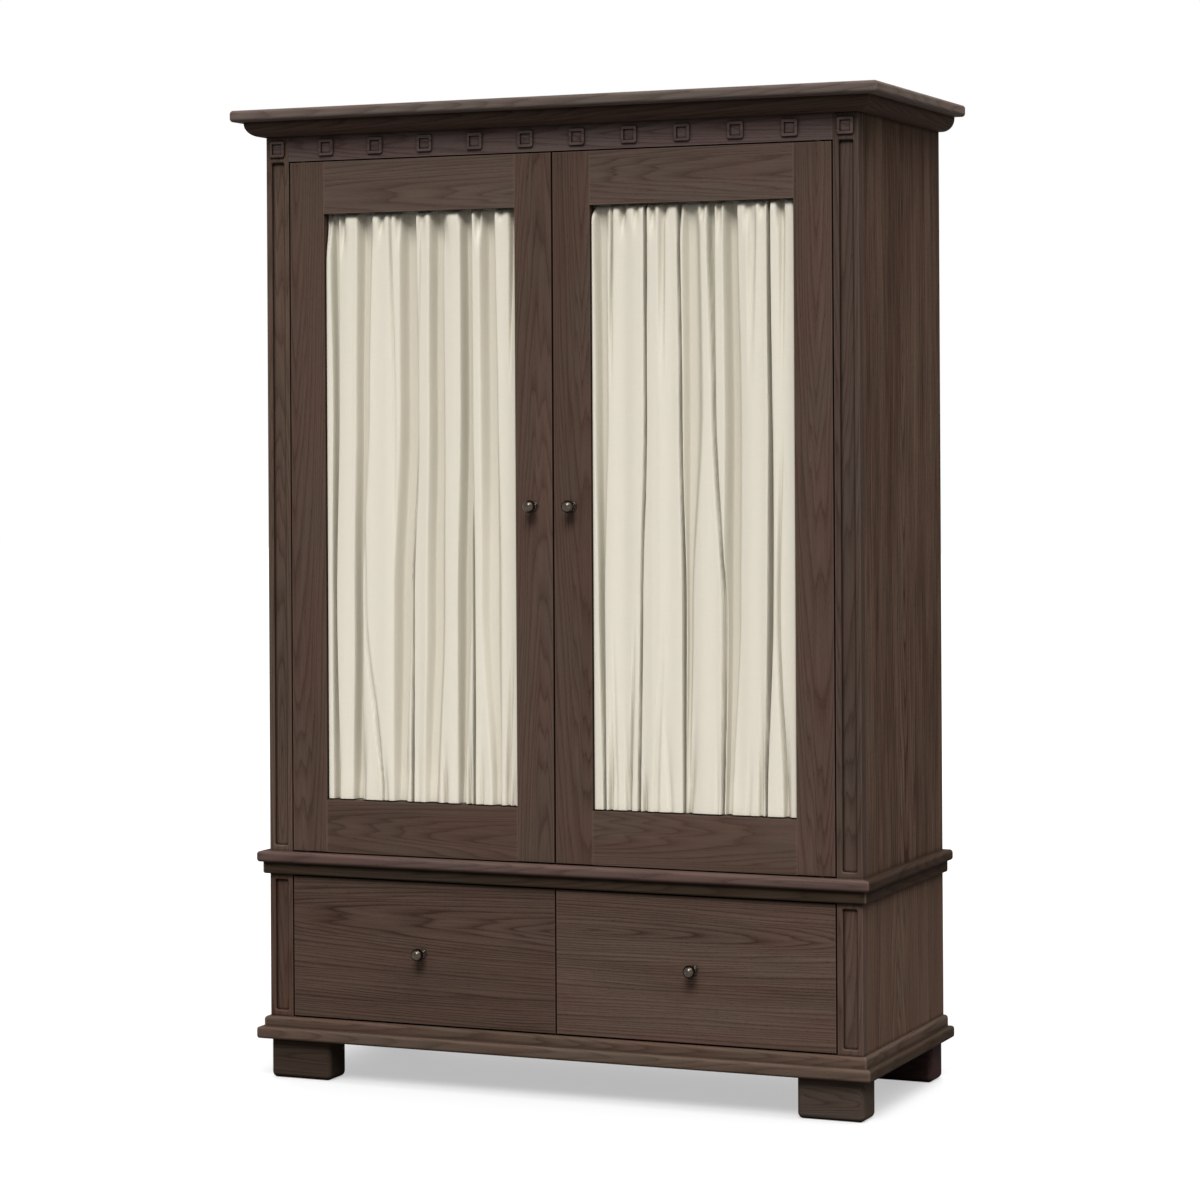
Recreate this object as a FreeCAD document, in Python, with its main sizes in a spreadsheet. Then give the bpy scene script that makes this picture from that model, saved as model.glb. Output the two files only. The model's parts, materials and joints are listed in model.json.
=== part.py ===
import FreeCAD, Part
import os
import re

# Tall cabinet: a chest with two drawers below, and above it a wardrobe with two curtained doors.
# X runs to the right as seen from the front, Y to the back and Z up.
# The origin is on the floor under the middle of the whole cabinet. Lengths are millimetres.

sizes = {
    # whole cabinet
    "cabinet_height": (2105, "floor to the top of the cornice"),
    "body_width": (1360, "across the two corner posts"),
    "body_depth": (540, "front of the posts to the back panel"),
    "side_thickness": (20, "side panels"),
    "back_thickness": (10, "back panels"),
    "overrun": (1, "how far a cutting shape passes the face it starts from"),
    # feet
    "foot_width": (144, "block foot, side to side"),
    "foot_depth": (78, "block foot, front to back"),
    "foot_height": (87, "block foot"),
    "foot_setback": (0, "foot behind the body's faces"),
    "foot_back_setback": (8, "back foot in front of the body's back"),
    "foot_corner_radius": (11, "upright edges of a foot"),
    "foot_toe_radius": (12, "bottom edges of a foot"),
    # base
    "base_slab_thickness": (25, "board under the chest"),
    "base_slab_reach": (24, "base board past the posts"),
    "base_slab_round": (6, "edges of the base board"),
    "base_moulding_height": (23, "moulding on the base board"),
    "base_moulding_reach": (10, "base moulding past the posts"),
    "base_moulding_round": (7, "top edge of the base moulding"),
    # chest
    "drawer_opening_height": (310, "base moulding to waist moulding"),
    "chest_rail_depth": (60, "front rails above and below the drawers"),
    "divider_thickness": (18, "upright between the drawers"),
    # waist
    "waist_moulding_height": (26, "moulding under the waist board"),
    "waist_moulding_reach": (11, "waist moulding past the posts"),
    "waist_moulding_round": (5, "bottom edge of the waist moulding"),
    "waist_slab_thickness": (23, "board between chest and wardrobe"),
    "waist_slab_reach": (23, "waist board past the posts"),
    "waist_slab_round": (7, "edges of the waist board"),
    # corner posts
    "post_width": (55, "corner post, side to side"),
    "post_thickness": (28, "corner post, front to back"),
    "post_ease": (1.2, "upright front edges of a post"),
    "panel_width": (31, "sunken panel in a post"),
    "panel_depth": (8, "sunken panel in a post"),
    "panel_bevel": (2.5, "mouth of the sunken panel"),
    "panel_corner_radius": (4, "corners of the sunken panel"),
    "panel_margin": (13, "sunken panel to the moulding above or below"),
    "panel_gap": (12, "sunken panel to the square above it"),
    # cornice and frieze
    "frieze_height": (55, "board above the doors, as it shows"),
    "cornice_moulding_height": (31, "rounded moulding under the cornice"),
    "cornice_moulding_reach": (36, "rounded moulding past the posts"),
    "cornice_moulding_round": (28, "roundness of that moulding"),
    "cornice_thickness": (25, "top board"),
    "cornice_overhang": (60, "top board past the posts"),
    "cornice_round": (7.5, "edges of the top board"),
    "square_size": (35, "raised squares on the frieze"),
    "square_height": (4.5, "how far a square stands out"),
    "square_corner_radius": (4, "corners of a square"),
    "square_ease": (1.2, "front edges of a square"),
    "square_rim": (6, "rim of a square"),
    "square_sink": (3, "field of a square below its rim"),
    "square_spacing": (118.4, "middle to middle along the frieze"),
    # doors
    "door_thickness": (22, "stiles and rails"),
    "door_gap": (3, "round each door"),
    "door_meeting_gap": (4, "between the doors"),
    "door_ease": (1, "front edges of the stiles"),
    "stile_width": (84.5, "stile beside the other door"),
    "outer_stile_width": (82.5, "stile beside the post"),
    "rail_height": (113, "door rails"),
    "tenon_length": (35, "rail into stile"),
    "tenon_thickness": (8, "rail tenon"),
    "tenon_shoulder": (18, "rail edge to tenon edge"),
    "joint_clearance": (0.2, "glue line round a tenon or in a groove"),
    "pivot_inset": (30, "pivot from the door's outer edge"),
    "pivot_radius": (4, "pivot pin"),
    "pivot_clearance": (0.05, "pin to bore in the door"),
    "pivot_reach": (14, "pin into the door"),
    "pivot_root": (16, "pin into the cabinet"),
    "collar_radius": (8, "collar of a pivot pin"),
    "running_gap": (0.4, "collar to door, and other running faces"),
    # door stops and catches
    "stop_thickness": (20, "stop strips behind the doors"),
    "stop_overlap": (17, "stop strip behind the door's edge"),
    "stop_seat": (22, "stop strip on the frieze board"),
    "stop_clearance": (0.5, "stop strip to the closed door"),
    "stop_end_gap": (60, "end of a stop strip to the post"),
    "catch_width": (40, "magnetic catch"),
    "catch_height": (12, "magnetic catch"),
    "catch_offset": (35, "catch from the middle"),
    "catch_plate_thickness": (1.2, "plate on the door"),
    "catch_air": (0.4, "catch to its plate"),
    # curtains
    "rod_radius": (4, "curtain rods"),
    "rod_beyond": (24, "rod past the window at each end"),
    "rod_above": (22, "rod past the window's top or bottom edge"),
    "rod_standoff": (22, "middle of a rod behind the door"),
    "hook_width": (12, "curtain hook"),
    "hook_height": (26, "back plate of a hook"),
    "hook_plate": (2.5, "back plate of a hook"),
    "hook_eye_radius": (7, "eye round the rod"),
    "hook_arm": (5, "arm of a hook"),
    "curtain_clearance": (0.6, "cloth to door and rods"),
    "curtain_cloth": (2.4, "cloth with its lining"),
    "curtain_heading": (13, "cloth past the rods"),
    # knobs
    "knob_radius": (13.5, "ball of a knob"),
    "knob_neck_radius": (5, "neck of a knob"),
    "knob_neck_length": (9, "rose to the ball's edge"),
    "knob_rose_radius": (10, "plate behind a knob"),
    "knob_rose_thickness": (3, "plate behind a knob"),
    "knob_blend": (2, "rounds at both ends of the neck"),
    "knob_rose_round": (1.5, "front edge of the plate"),
    "knob_shank_radius": (2.5, "screwed shank"),
    "knob_shank_length": (15, "shank into the wood"),
    "door_knob_height": (1247, "floor to the door knobs"),
    # drawers
    "drawer_gap": (3, "round each drawer front"),
    "drawer_front_thickness": (20, "drawer fronts"),
    "drawer_front_ease": (1.5, "edges of the drawer fronts"),
    "drawer_side_thickness": (13, "drawer sides and backs"),
    "drawer_side_height": (250, "drawer sides"),
    "drawer_side_inset": (10, "drawer side in from its opening's edge"),
    "drawer_bottom_thickness": (6, "drawer bottoms"),
    "drawer_bottom_lift": (12, "groove above the side's lower edge"),
    "drawer_groove": (5, "depth of the groove"),
    "drawer_end_gap": (8, "drawer to the back panel"),
    "drawer_slip": (1, "drawer side to its guide"),
    "runner_width": (12, "runner past the drawer side"),
    "guide_thickness": (6, "guide between a drawer and the divider"),
    "guide_height": (40, "guide and back stop above the runner"),
    # wardrobe inside
    "shelf_thickness": (18, "hat shelf"),
    "hat_space": (270, "top of the hat shelf to the top board"),
    "shelf_setback": (110, "shelf behind the doors' front"),
    "shelf_slip": (1, "shelf to the sides"),
    "batten_height": (30, "strips under the shelf"),
    "batten_thickness": (20, "strips under the shelf"),
    "batten_setback": (15, "strip behind the shelf's front"),
    "rail_radius": (12.5, "clothes rail"),
    "rail_wall": (1.5, "clothes rail"),
    "rail_drop": (75, "clothes rail below the shelf"),
    "socket_radius": (24, "flange of a rail socket"),
    "socket_flange": (3, "flange of a rail socket"),
    "socket_cup_wall": (3, "cup of a rail socket"),
    "socket_depth": (14, "rail into its socket"),
    "socket_clearance": (0.3, "rail to its socket"),
}

# Places that follow from the sizes above.
places = {
    "front": "(cornice_overhang - body_depth) / 2",
    "back": "(cornice_overhang + body_depth) / 2",
    "half_width": "body_width / 2",
    "opening_half": "half_width - post_width",
    "inside_half": "half_width - side_thickness",
    "post_back": "front + post_thickness",
    "back_panel": "back - back_thickness",
    "base_top": "foot_height + base_slab_thickness",
    "drawer_floor": "base_top + base_moulding_height",
    "waist_low": "drawer_floor + drawer_opening_height",
    "waist_slab_low": "waist_low + waist_moulding_height",
    "waist_top": "waist_slab_low + waist_slab_thickness",
    "cornice_low": "cabinet_height - cornice_thickness",
    "frieze_top": "cornice_low - cornice_moulding_height",
    "frieze_low": "frieze_top - frieze_height",
    "frieze_middle": "frieze_low + frieze_height / 2",
    "door_low": "waist_top + door_gap",
    "door_top": "frieze_low - door_gap",
    "door_inner": "door_meeting_gap / 2",
    "door_outer": "opening_half - door_gap",
    "window_inner": "door_inner + stile_width",
    "window_outer": "door_outer - outer_stile_width",
    "window_low": "door_low + rail_height",
    "window_top": "door_top - rail_height",
    "door_back": "front + door_thickness",
    "pivot_out": "door_outer - pivot_inset",
    "pivot_in": "front + door_thickness / 2",
    "stop_front": "door_back + stop_clearance",
    "rod_line": "door_back + rod_standoff",
    "drawer_back": "front + drawer_front_thickness",
    "drawer_inner": "drawer_gap / 2",
    "drawer_outer": "opening_half - drawer_gap",
    "box_outer": "opening_half - drawer_side_inset",
    "box_inner": "divider_thickness / 2 + guide_thickness + drawer_slip",
    "box_low": "drawer_floor + running_gap",
    "box_end": "back_panel - drawer_end_gap",
    "drawer_middle": "(drawer_inner + drawer_outer) / 2",
    "runner_front": "front + chest_rail_depth",
    "shelf_top": "cornice_low - hat_space",
    "shelf_low": "shelf_top - shelf_thickness",
    "rail_height_line": "shelf_low - rail_drop",
    "rail_middle": "(front + back) / 2",
}

doc = FreeCAD.newDocument("TallCabinet")
sheet = doc.addObject("Spreadsheet::Sheet", "Sizes")
lows = {}
subparts = {}
frontFacing = FreeCAD.Rotation(FreeCAD.Vector(1, 0, 0), 90)
acrossFacing = FreeCAD.Rotation(FreeCAD.Vector(0, 1, 0), 90)
upFacing = FreeCAD.Rotation()


def fillSheet():
    for row, (name, (value, note)) in enumerate(sizes.items(), start=1):
        sheet.set("A%d" % row, name)
        sheet.set("B%d" % row, str(value))
        sheet.set("C%d" % row, note)
        sheet.setAlias("B%d" % row, name)
    doc.recompute()


def formula(text):
    # Puts the sheet's cells, and the places above, into an expression.
    def swap(found):
        word = found.group()
        if word in places:
            return "(" + formula(places[word]) + ")"
        return "Sizes." + word
    return re.sub(r"[a-z][a-z_]+", swap, str(text))


def bind(thing, prop, text):
    thing.setExpression(prop, formula(text))


def locate(thing, low, rotation=upFacing):
    thing.Placement = FreeCAD.Placement(FreeCAD.Vector(), rotation)
    for axis, text in zip("xyz", low):
        bind(thing, "Placement.Base." + axis, text)


def within(body, low):
    # A place in the cabinet's frame, as seen from the body's own corner.
    return ["(%s) - (%s)" % pair for pair in zip(low, lows[body.Name])]


def across(sign, inner, outer):
    # The low X and the width of a piece between two distances from the middle, right or left.
    low = inner if sign > 0 else "-(%s)" % outer
    return low, "(%s) - (%s)" % (outer, inner)


def setSize(thing, size):
    for prop, text in zip(("Length", "Width", "Height"), size):
        bind(thing, prop, text)


def plainBox(label, low, size):
    box = doc.addObject("Part::Box", label)
    box.Label = label
    setSize(box, size)
    locate(box, low)
    return box


def board(label, low, size):
    body = doc.addObject("PartDesign::Body", label)
    body.Label = label
    blank = body.newObject("PartDesign::AdditiveBox", label + "_blank")
    setSize(blank, size)
    locate(body, low)
    lows[body.Name] = low
    return body


def boxFeature(body, kind, low, size, rotation=upFacing):
    feature = body.newObject("PartDesign::" + kind, body.Name + "_" + kind)
    setSize(feature, size)
    locate(feature, within(body, low), rotation)
    return feature


def cutBox(body, low, size, rotation=upFacing):
    return boxFeature(body, "SubtractiveBox", low, size, rotation)


def addBox(body, low, size):
    return boxFeature(body, "AdditiveBox", low, size)


def cutRod(body, low, radius, length, rotation=upFacing):
    feature = body.newObject("PartDesign::SubtractiveCylinder", body.Name + "_bore")
    bind(feature, "Radius", radius)
    bind(feature, "Height", length)
    locate(feature, within(body, low), rotation)
    return feature


def onSides(box, edge, sides):
    # True where the edge lies in every one of the named faces of the box around the solid.
    tight = 1e-4
    limits = {
        "left": (box.XMin, edge.XMin, edge.XMax),
        "right": (box.XMax, edge.XMin, edge.XMax),
        "front": (box.YMin, edge.YMin, edge.YMax),
        "back": (box.YMax, edge.YMin, edge.YMax),
        "bottom": (box.ZMin, edge.ZMin, edge.ZMax),
        "top": (box.ZMax, edge.ZMin, edge.ZMax),
    }
    return all(abs(limits[side][0] - value) < tight for side in sides for value in limits[side][1:])


def edgeNames(feature, *sideLists, inside=False):
    # Edges on all sides of a list; with inside, only those clear of the solid's other faces.
    box = feature.Shape.BoundBox
    names = []
    for number, edge in enumerate(feature.Shape.Edges, start=1):
        frame = edge.BoundBox
        wanted = any(onSides(box, frame, sides) for sides in sideLists)
        outer = any(onSides(box, frame, [side]) for side in ("left", "right", "bottom", "top"))
        if wanted and not (inside and outer):
            names.append("Edge%d" % number)
    return names


def roundPocket(body, size):
    # Rounds the corners of a pocket cut into the front: its edges that run straight back.
    doc.recompute()
    base = body.Tip
    box = base.Shape.BoundBox
    tight = 1e-4
    names = []
    for number, edge in enumerate(base.Shape.Edges, start=1):
        frame = edge.BoundBox
        runsBack = frame.XLength < tight and frame.ZLength < tight
        outer = any(onSides(box, frame, [side]) for side in ("left", "right", "bottom", "top"))
        if runsBack and not outer:
            names.append("Edge%d" % number)
    feature = body.newObject("PartDesign::Fillet", body.Name + "_corners")
    feature.Base = (base, names)
    bind(feature, "Radius", size)


def ease(body, kind, size, *sideLists, inside=False):
    doc.recompute()
    base = body.Tip
    names = edgeNames(base, *sideLists, inside=inside)
    feature = body.newObject("PartDesign::" + kind, body.Name + "_" + kind)
    feature.Base = (base, names)
    bind(feature, "Radius" if kind == "Fillet" else "Size", size)
    return feature


def group(label, pieces):
    whole = doc.addObject("Part::Compound", label)
    whole.Label = label
    whole.Links = pieces
    return whole


def keep(piece):
    subparts[piece.Label] = piece
    return piece


sides = (("left", -1), ("right", 1))
frontArris = (("front", "top"), ("front", "bottom"), ("left", "top"), ("left", "bottom"),
              ("right", "top"), ("right", "bottom"), ("front", "left"), ("front", "right"))


def slab(label, reach, low, thickness, roundness):
    # A board that stands past the body in front and at both sides, flush at the back.
    body = board(label,
                 ["-half_width - " + reach, "front - " + reach, low],
                 ["body_width + 2 * " + reach, "body_depth + " + reach, thickness])
    ease(body, "Fillet", roundness, *frontArris)
    return body


def mitre(body, sign, low, height, reach, turn):
    cutBox(body,
           ["%d * half_width" % sign, "front", "%s - overrun" % low],
           ["2 * " + reach, "2 * " + reach, "%s + 2 * overrun" % height],
           FreeCAD.Rotation(FreeCAD.Vector(0, 0, 1), turn))


def moulding(label, low, height, reach, roundness, edge):
    # Three lengths planted round the body: one in front, one on each side, mitred at the corners.
    front = board(label + "_front",
                  ["-half_width - " + reach, "front - " + reach, low],
                  ["body_width + 2 * " + reach, reach, height])
    ease(front, "Fillet", roundness, ("front", edge))
    mitre(front, 1, low, height, reach, -45)
    mitre(front, -1, low, height, reach, 135)
    lengths = [front]
    for side, sign in sides:
        lowX, width = across(sign, "half_width", "half_width + " + reach)
        strip = board(label + "_" + side,
                      [lowX, "front - " + reach, low],
                      [width, "body_depth + " + reach, height])
        ease(strip, "Fillet", roundness, (side, edge))
        mitre(strip, sign, low, height, reach, -135)
        lengths.append(strip)
    keep(group(label, lengths))


def feet():
    for end, lowY in (("front", "front + foot_setback"), ("back", "back - foot_back_setback - foot_depth")):
        for side, sign in sides:
            outer = "half_width - foot_setback"
            lowX, width = across(sign, outer + " - foot_width", outer)
            foot = board("foot_%s_%s" % (end, side), [lowX, lowY, 0],
                         [width, "foot_depth", "foot_height"])
            ease(foot, "Fillet", "foot_corner_radius", ("front", "left"), ("front", "right"),
                 ("back", "left"), ("back", "right"))
            ease(foot, "Fillet", "foot_toe_radius", ("bottom",))
            keep(foot)


def base():
    keep(slab("base_slab", "base_slab_reach", "foot_height", "base_slab_thickness", "base_slab_round"))
    moulding("base_moulding", "base_top", "base_moulding_height", "base_moulding_reach",
             "base_moulding_round", "top")


def post(label, sign, low, high, panelLow, panelHigh):
    lowX, width = across(sign, "opening_half", "half_width")
    body = board(label, [lowX, "front", low], [width, "post_thickness", "(%s) - (%s)" % (high, low)])
    inner = "opening_half + (post_width - panel_width) / 2"
    panelX, panelWidth = across(sign, inner, inner + " + panel_width")
    cutBox(body, [panelX, "front - overrun", panelLow],
           [panelWidth, "panel_depth + overrun", "(%s) - (%s)" % (panelHigh, panelLow)])
    roundPocket(body, "panel_corner_radius")
    ease(body, "Chamfer", "panel_bevel", ("front",), inside=True)
    ease(body, "Fillet", "post_ease", ("front", "left"), ("front", "right"))
    keep(body)


def chest():
    for side, sign in sides:
        lowX, width = across(sign, "inside_half", "half_width")
        keep(plainBox("chest_side_" + side, [lowX, "post_back", "base_top"],
                      [width, "back - post_back", "waist_slab_low - base_top"]))
        post("chest_post_" + side, sign, "base_top", "waist_slab_low",
             "drawer_floor + panel_margin", "waist_low - panel_margin")
    railWidth = "2 * opening_half"
    lowerRail = plainBox("lower_rail", ["-opening_half", "front", "base_top"],
                         [railWidth, "chest_rail_depth", "base_moulding_height"])
    upperRail = plainBox("upper_rail", ["-opening_half", "front", "waist_low"],
                         [railWidth, "chest_rail_depth", "waist_moulding_height"])
    keep(group("chest_rails", [lowerRail, upperRail]))
    keep(plainBox("chest_divider", ["-divider_thickness / 2", "runner_front", "base_top"],
                  ["divider_thickness", "back_panel - runner_front", "waist_slab_low - base_top"]))
    keep(plainBox("chest_back", ["-inside_half", "back_panel", "base_top"],
                  ["2 * inside_half", "back_thickness", "waist_slab_low - base_top"]))


def runner(label, sign, inner, outer, guideInner, guideOuter):
    # The drawer side rides on the strip, between its upright and a stop at the back.
    lowX, width = across(sign, inner, outer)
    body = board(label, [lowX, "runner_front", "base_top"],
                 [width, "back_panel - runner_front", "base_moulding_height"])
    guideX, guideWidth = across(sign, guideInner, guideOuter)
    addBox(body, [guideX, "runner_front", "base_top"],
           [guideWidth, "back_panel - runner_front", "base_moulding_height + guide_height"])
    addBox(body, [lowX, "box_end + running_gap", "base_top"],
           [width, "back_panel - box_end - running_gap", "base_moulding_height + guide_height"])
    return body


def runners():
    strips = []
    for side, sign in sides:
        strips.append(runner("outer_runner_" + side, sign,
                             "box_outer - drawer_side_thickness - runner_width", "inside_half",
                             "box_outer + drawer_slip", "inside_half"))
        strips.append(runner("inner_runner_" + side, sign,
                             "divider_thickness / 2", "box_inner + drawer_side_thickness + runner_width",
                             "divider_thickness / 2", "divider_thickness / 2 + guide_thickness"))
    keep(group("drawer_runners", strips))


def waist():
    moulding("waist_moulding", "waist_low", "waist_moulding_height", "waist_moulding_reach",
             "waist_moulding_round", "bottom")
    board = slab("waist_slab", "waist_slab_reach", "waist_slab_low", "waist_slab_thickness",
                 "waist_slab_round")
    for side, sign in sides:
        cutRod(board, ["%d * pivot_out" % sign, "pivot_in", "waist_top - pivot_root"],
               "pivot_radius", "pivot_root + overrun")
    keep(board)


def wardrobe():
    for side, sign in sides:
        lowX, width = across(sign, "inside_half", "half_width")
        keep(plainBox("upper_side_" + side, [lowX, "post_back", "waist_top"],
                      [width, "back - post_back", "cornice_low - waist_top"]))
        post("upper_post_" + side, sign, "waist_top", "cornice_low",
             "waist_top + panel_margin", "frieze_middle - square_size / 2 - panel_gap")
    keep(plainBox("upper_back", ["-inside_half", "back_panel", "waist_top"],
                  ["2 * inside_half", "back_thickness", "cornice_low - waist_top"]))


def cornice():
    frieze = board("frieze_rail", ["-opening_half", "front", "frieze_low"],
                   ["2 * opening_half", "stop_front - front", "cornice_low - frieze_low"])
    for side, sign in sides:
        cutRod(frieze, ["%d * pivot_out" % sign, "pivot_in", "frieze_low - overrun"],
               "pivot_radius", "pivot_root + overrun")
    keep(frieze)
    moulding("cornice_moulding", "frieze_top", "cornice_moulding_height", "cornice_moulding_reach",
             "cornice_moulding_round", "bottom")
    keep(slab("cornice_slab", "cornice_overhang", "cornice_low", "cornice_thickness", "cornice_round"))


def square(number, middle):
    # A raised square with a sunken field, planted on the frieze or at the head of a post.
    low = "frieze_middle - square_size / 2"
    left = "(%s) - square_size / 2" % middle
    body = board("square_%d" % number, [left, "front - square_height", low],
                 ["square_size", "square_height", "square_size"])
    cutBox(body, [left + " + square_rim", "front - square_height - overrun", low + " + square_rim"],
           ["square_size - 2 * square_rim", "square_sink + overrun", "square_size - 2 * square_rim"])
    ease(body, "Fillet", "square_corner_radius", ("left", "top"), ("left", "bottom"),
         ("right", "top"), ("right", "bottom"))
    ease(body, "Fillet", "square_ease", ("front", "top"), ("front", "bottom"), ("front", "left"),
         ("front", "right"))
    return body


def squares():
    friezeCount = 10
    middles = ["square_spacing * %g" % (number - (friezeCount - 1) / 2) for number in range(friezeCount)]
    middles += ["%d * (half_width - post_width / 2)" % sign for side, sign in sides]
    keep(group("frieze_squares", [square(number, middle) for number, middle in enumerate(middles, 1)]))


def inside():
    # Hat shelf on two strips, and a clothes rail below it.
    keep(plainBox("hat_shelf", ["-inside_half + shelf_slip", "front + shelf_setback", "shelf_low"],
                  ["2 * (inside_half - shelf_slip)", "back_panel - front - shelf_setback",
                   "shelf_thickness"]))
    strips = []
    sockets = []
    for side, sign in sides:
        lowX, width = across(sign, "inside_half - batten_thickness", "inside_half")
        batten = "front + shelf_setback + batten_setback"
        strips.append(plainBox("batten_" + side, [lowX, batten, "shelf_low - batten_height"],
                               [width, "back_panel - (%s)" % batten, "batten_height"]))
        sockets.append(railSocket("rail_socket_" + side, sign))
    keep(group("shelf_battens", strips))
    keep(group("rail_sockets", sockets))
    keep(clothesRail())


def turned(label, kind, radius, length, low, rotation):
    rod = doc.addObject("Part::Cylinder", label)
    bind(rod, "Radius", radius)
    bind(rod, "Height", length)
    locate(rod, low, rotation)
    return rod


def hollow(label, outside, bore):
    cut = doc.addObject("Part::Cut", label)
    cut.Label = label
    cut.Base = outside
    cut.Tool = bore
    return cut


def joined(label, pieces):
    whole = doc.addObject("Part::MultiFuse", label)
    whole.Label = label
    whole.Shapes = pieces
    return whole


def railSocket(label, sign):
    # A flange screwed to the side panel, with a cup that the rail's end sits in.
    cup = "rail_radius + socket_clearance + socket_cup_wall"
    flangeX, width = across(sign, "inside_half - socket_flange", "inside_half")
    cupX, cupWidth = across(sign, "inside_half - socket_flange - socket_depth", "inside_half")
    boreX, boreWidth = across(sign, "inside_half - socket_flange - socket_depth - overrun",
                              "inside_half - socket_flange")
    line = ["rail_middle", "rail_height_line"]
    flange = turned(label + "_flange", "Cylinder", "socket_radius", width, [flangeX] + line, acrossFacing)
    cupRod = turned(label + "_cup", "Cylinder", cup, cupWidth, [cupX] + line, acrossFacing)
    bore = turned(label + "_bore", "Cylinder", "rail_radius + socket_clearance", boreWidth,
                  [boreX] + line, acrossFacing)
    return hollow(label, joined(label + "_blank", [flange, cupRod]), bore)


def clothesRail():
    end = "inside_half - socket_flange - socket_clearance"
    line = ["rail_middle", "rail_height_line"]
    tube = turned("rail_tube", "Cylinder", "rail_radius", "2 * (%s)" % end, ["-(%s)" % end] + line,
                  acrossFacing)
    bore = turned("rail_bore", "Cylinder", "rail_radius - rail_wall", "2 * (%s + overrun)" % end,
                  ["-(%s) - overrun" % end] + line, acrossFacing)
    return hollow("clothes_rail", tube, bore)


def stopsAndPins():
    reach = "opening_half - stop_end_gap"
    upper = plainBox("upper_stop", ["-(%s)" % reach, "stop_front", "door_top - stop_overlap"],
                     ["2 * (%s)" % reach, "stop_thickness", "stop_overlap + door_gap + stop_seat"])
    lower = plainBox("lower_stop", ["-(%s)" % reach, "stop_front", "waist_top"],
                     ["2 * (%s)" % reach, "stop_thickness", "door_gap + stop_overlap"])
    keep(group("door_stops", [upper, lower]))
    pins = []
    for side, sign in sides:
        line = ["%d * pivot_out" % sign, "pivot_in"]
        pins.append(pivotPin("lower_pin_" + side, line, "waist_top - pivot_root", "waist_top"))
        pins.append(pivotPin("upper_pin_" + side, line, "door_top - pivot_reach",
                             "door_top + running_gap"))
    keep(group("pivot_pins", pins))
    catches = []
    for side, sign in sides:
        lowX, width = across(sign, "catch_offset", "catch_offset + catch_width")
        catchFront = "door_back + catch_plate_thickness + catch_air"
        low = "door_top - stop_overlap - catch_height"
        catches.append(plainBox("catch_" + side, [lowX, catchFront, low],
                                [width, "stop_front + stop_thickness - (%s)" % catchFront,
                                 "catch_height"]))
    keep(group("door_catches", catches))


def pivotPin(label, line, low, collarLow):
    # A steel pin with a collar that fills the gap under or over the door.
    length = "pivot_root + door_gap + pivot_reach"
    pin = turned(label + "_pin", "Cylinder", "pivot_radius", length, line + [low], upFacing)
    collar = turned(label + "_collar", "Cylinder", "collar_radius", "door_gap - running_gap",
                    line + [collarLow], upFacing)
    return joined(label, [pin, collar])


def stile(label, sign, inner, outer, isOuter):
    lowX, width = across(sign, inner, outer)
    body = board(label, [lowX, "front", "door_low"], [width, "door_thickness", "door_top - door_low"])
    edges = [("front", "top"), ("front", "bottom")]
    meeting = (sign > 0) == isOuter
    edges.append(("front", "right" if meeting else "left"))
    ease(body, "Fillet", "door_ease", *edges)
    mouth = inner if isOuter else "(%s) - tenon_length" % outer
    slotX, slotWidth = across(sign, mouth, "(%s) + tenon_length" % mouth)
    slack = "joint_clearance"
    for low in ("door_low + tenon_shoulder", "window_top + tenon_shoulder"):
        cutBox(body, ["(%s) - %s" % (slotX, slack), tenonFront() + " - " + slack,
                      low + " - " + slack],
               ["(%s) + 2 * %s" % (slotWidth, slack), "tenon_thickness + 2 * " + slack,
                tenonHeight() + " + 2 * " + slack])
    return body


def tenonFront():
    return "pivot_in - tenon_thickness / 2"


def tenonHeight():
    return "(rail_height - 2 * tenon_shoulder)"


def doorRail(label, sign, low):
    lowX, width = across(sign, "window_inner", "window_outer")
    body = board(label, [lowX, "front", low], [width, "door_thickness", "rail_height"])
    tenonX, tenonWidth = across(sign, "window_inner - tenon_length", "window_outer + tenon_length")
    addBox(body, [tenonX, tenonFront(), "(%s) + tenon_shoulder" % low],
           [tenonWidth, "tenon_thickness", tenonHeight()])
    return body


def roundCircles(body, radius, size, height=None):
    # Rounds the circles of one radius, at one height or at all of them.
    doc.recompute()
    base = body.Tip
    tight = 1e-4
    names = []
    for number, edge in enumerate(base.Shape.Edges, start=1):
        if edge.Degenerated or edge.Curve.TypeId != "Part::GeomCircle":
            continue
        fits = abs(edge.Curve.Radius - sheet.get(radius)) < tight
        if fits and (height is None or abs(edge.Curve.Center.z - sheet.get(height)) < tight):
            names.append("Edge%d" % number)
    feature = body.newObject("PartDesign::Fillet", body.Name + "_rounds")
    feature.Base = (base, names)
    bind(feature, "Radius", size)


def knob(label, face, height, middle):
    # A turned ball knob on a rose, with a screwed shank into the wood behind it.
    body = doc.addObject("PartDesign::Body", label)
    body.Label = label
    steps = (
        ("Cylinder", "knob_rose_radius", "knob_rose_thickness", 0),
        ("Cylinder", "knob_neck_radius", "knob_rose_thickness + knob_neck_length + knob_radius", 0),
        ("Cylinder", "knob_shank_radius", "knob_shank_length + overrun", "-knob_shank_length"),
        ("Sphere", "knob_radius", None, "knob_rose_thickness + knob_neck_length + knob_radius"),
    )
    for kind, radius, length, low in steps:
        feature = body.newObject("PartDesign::Additive" + kind, label + "_" + kind)
        bind(feature, "Radius", radius)
        if length:
            bind(feature, "Height", length)
        locate(feature, [0, 0, low])
    roundCircles(body, "knob_neck_radius", "knob_blend")
    roundCircles(body, "knob_rose_radius", "knob_rose_round", "knob_rose_thickness")
    locate(body, [middle, face, height], frontFacing)
    return body


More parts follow.
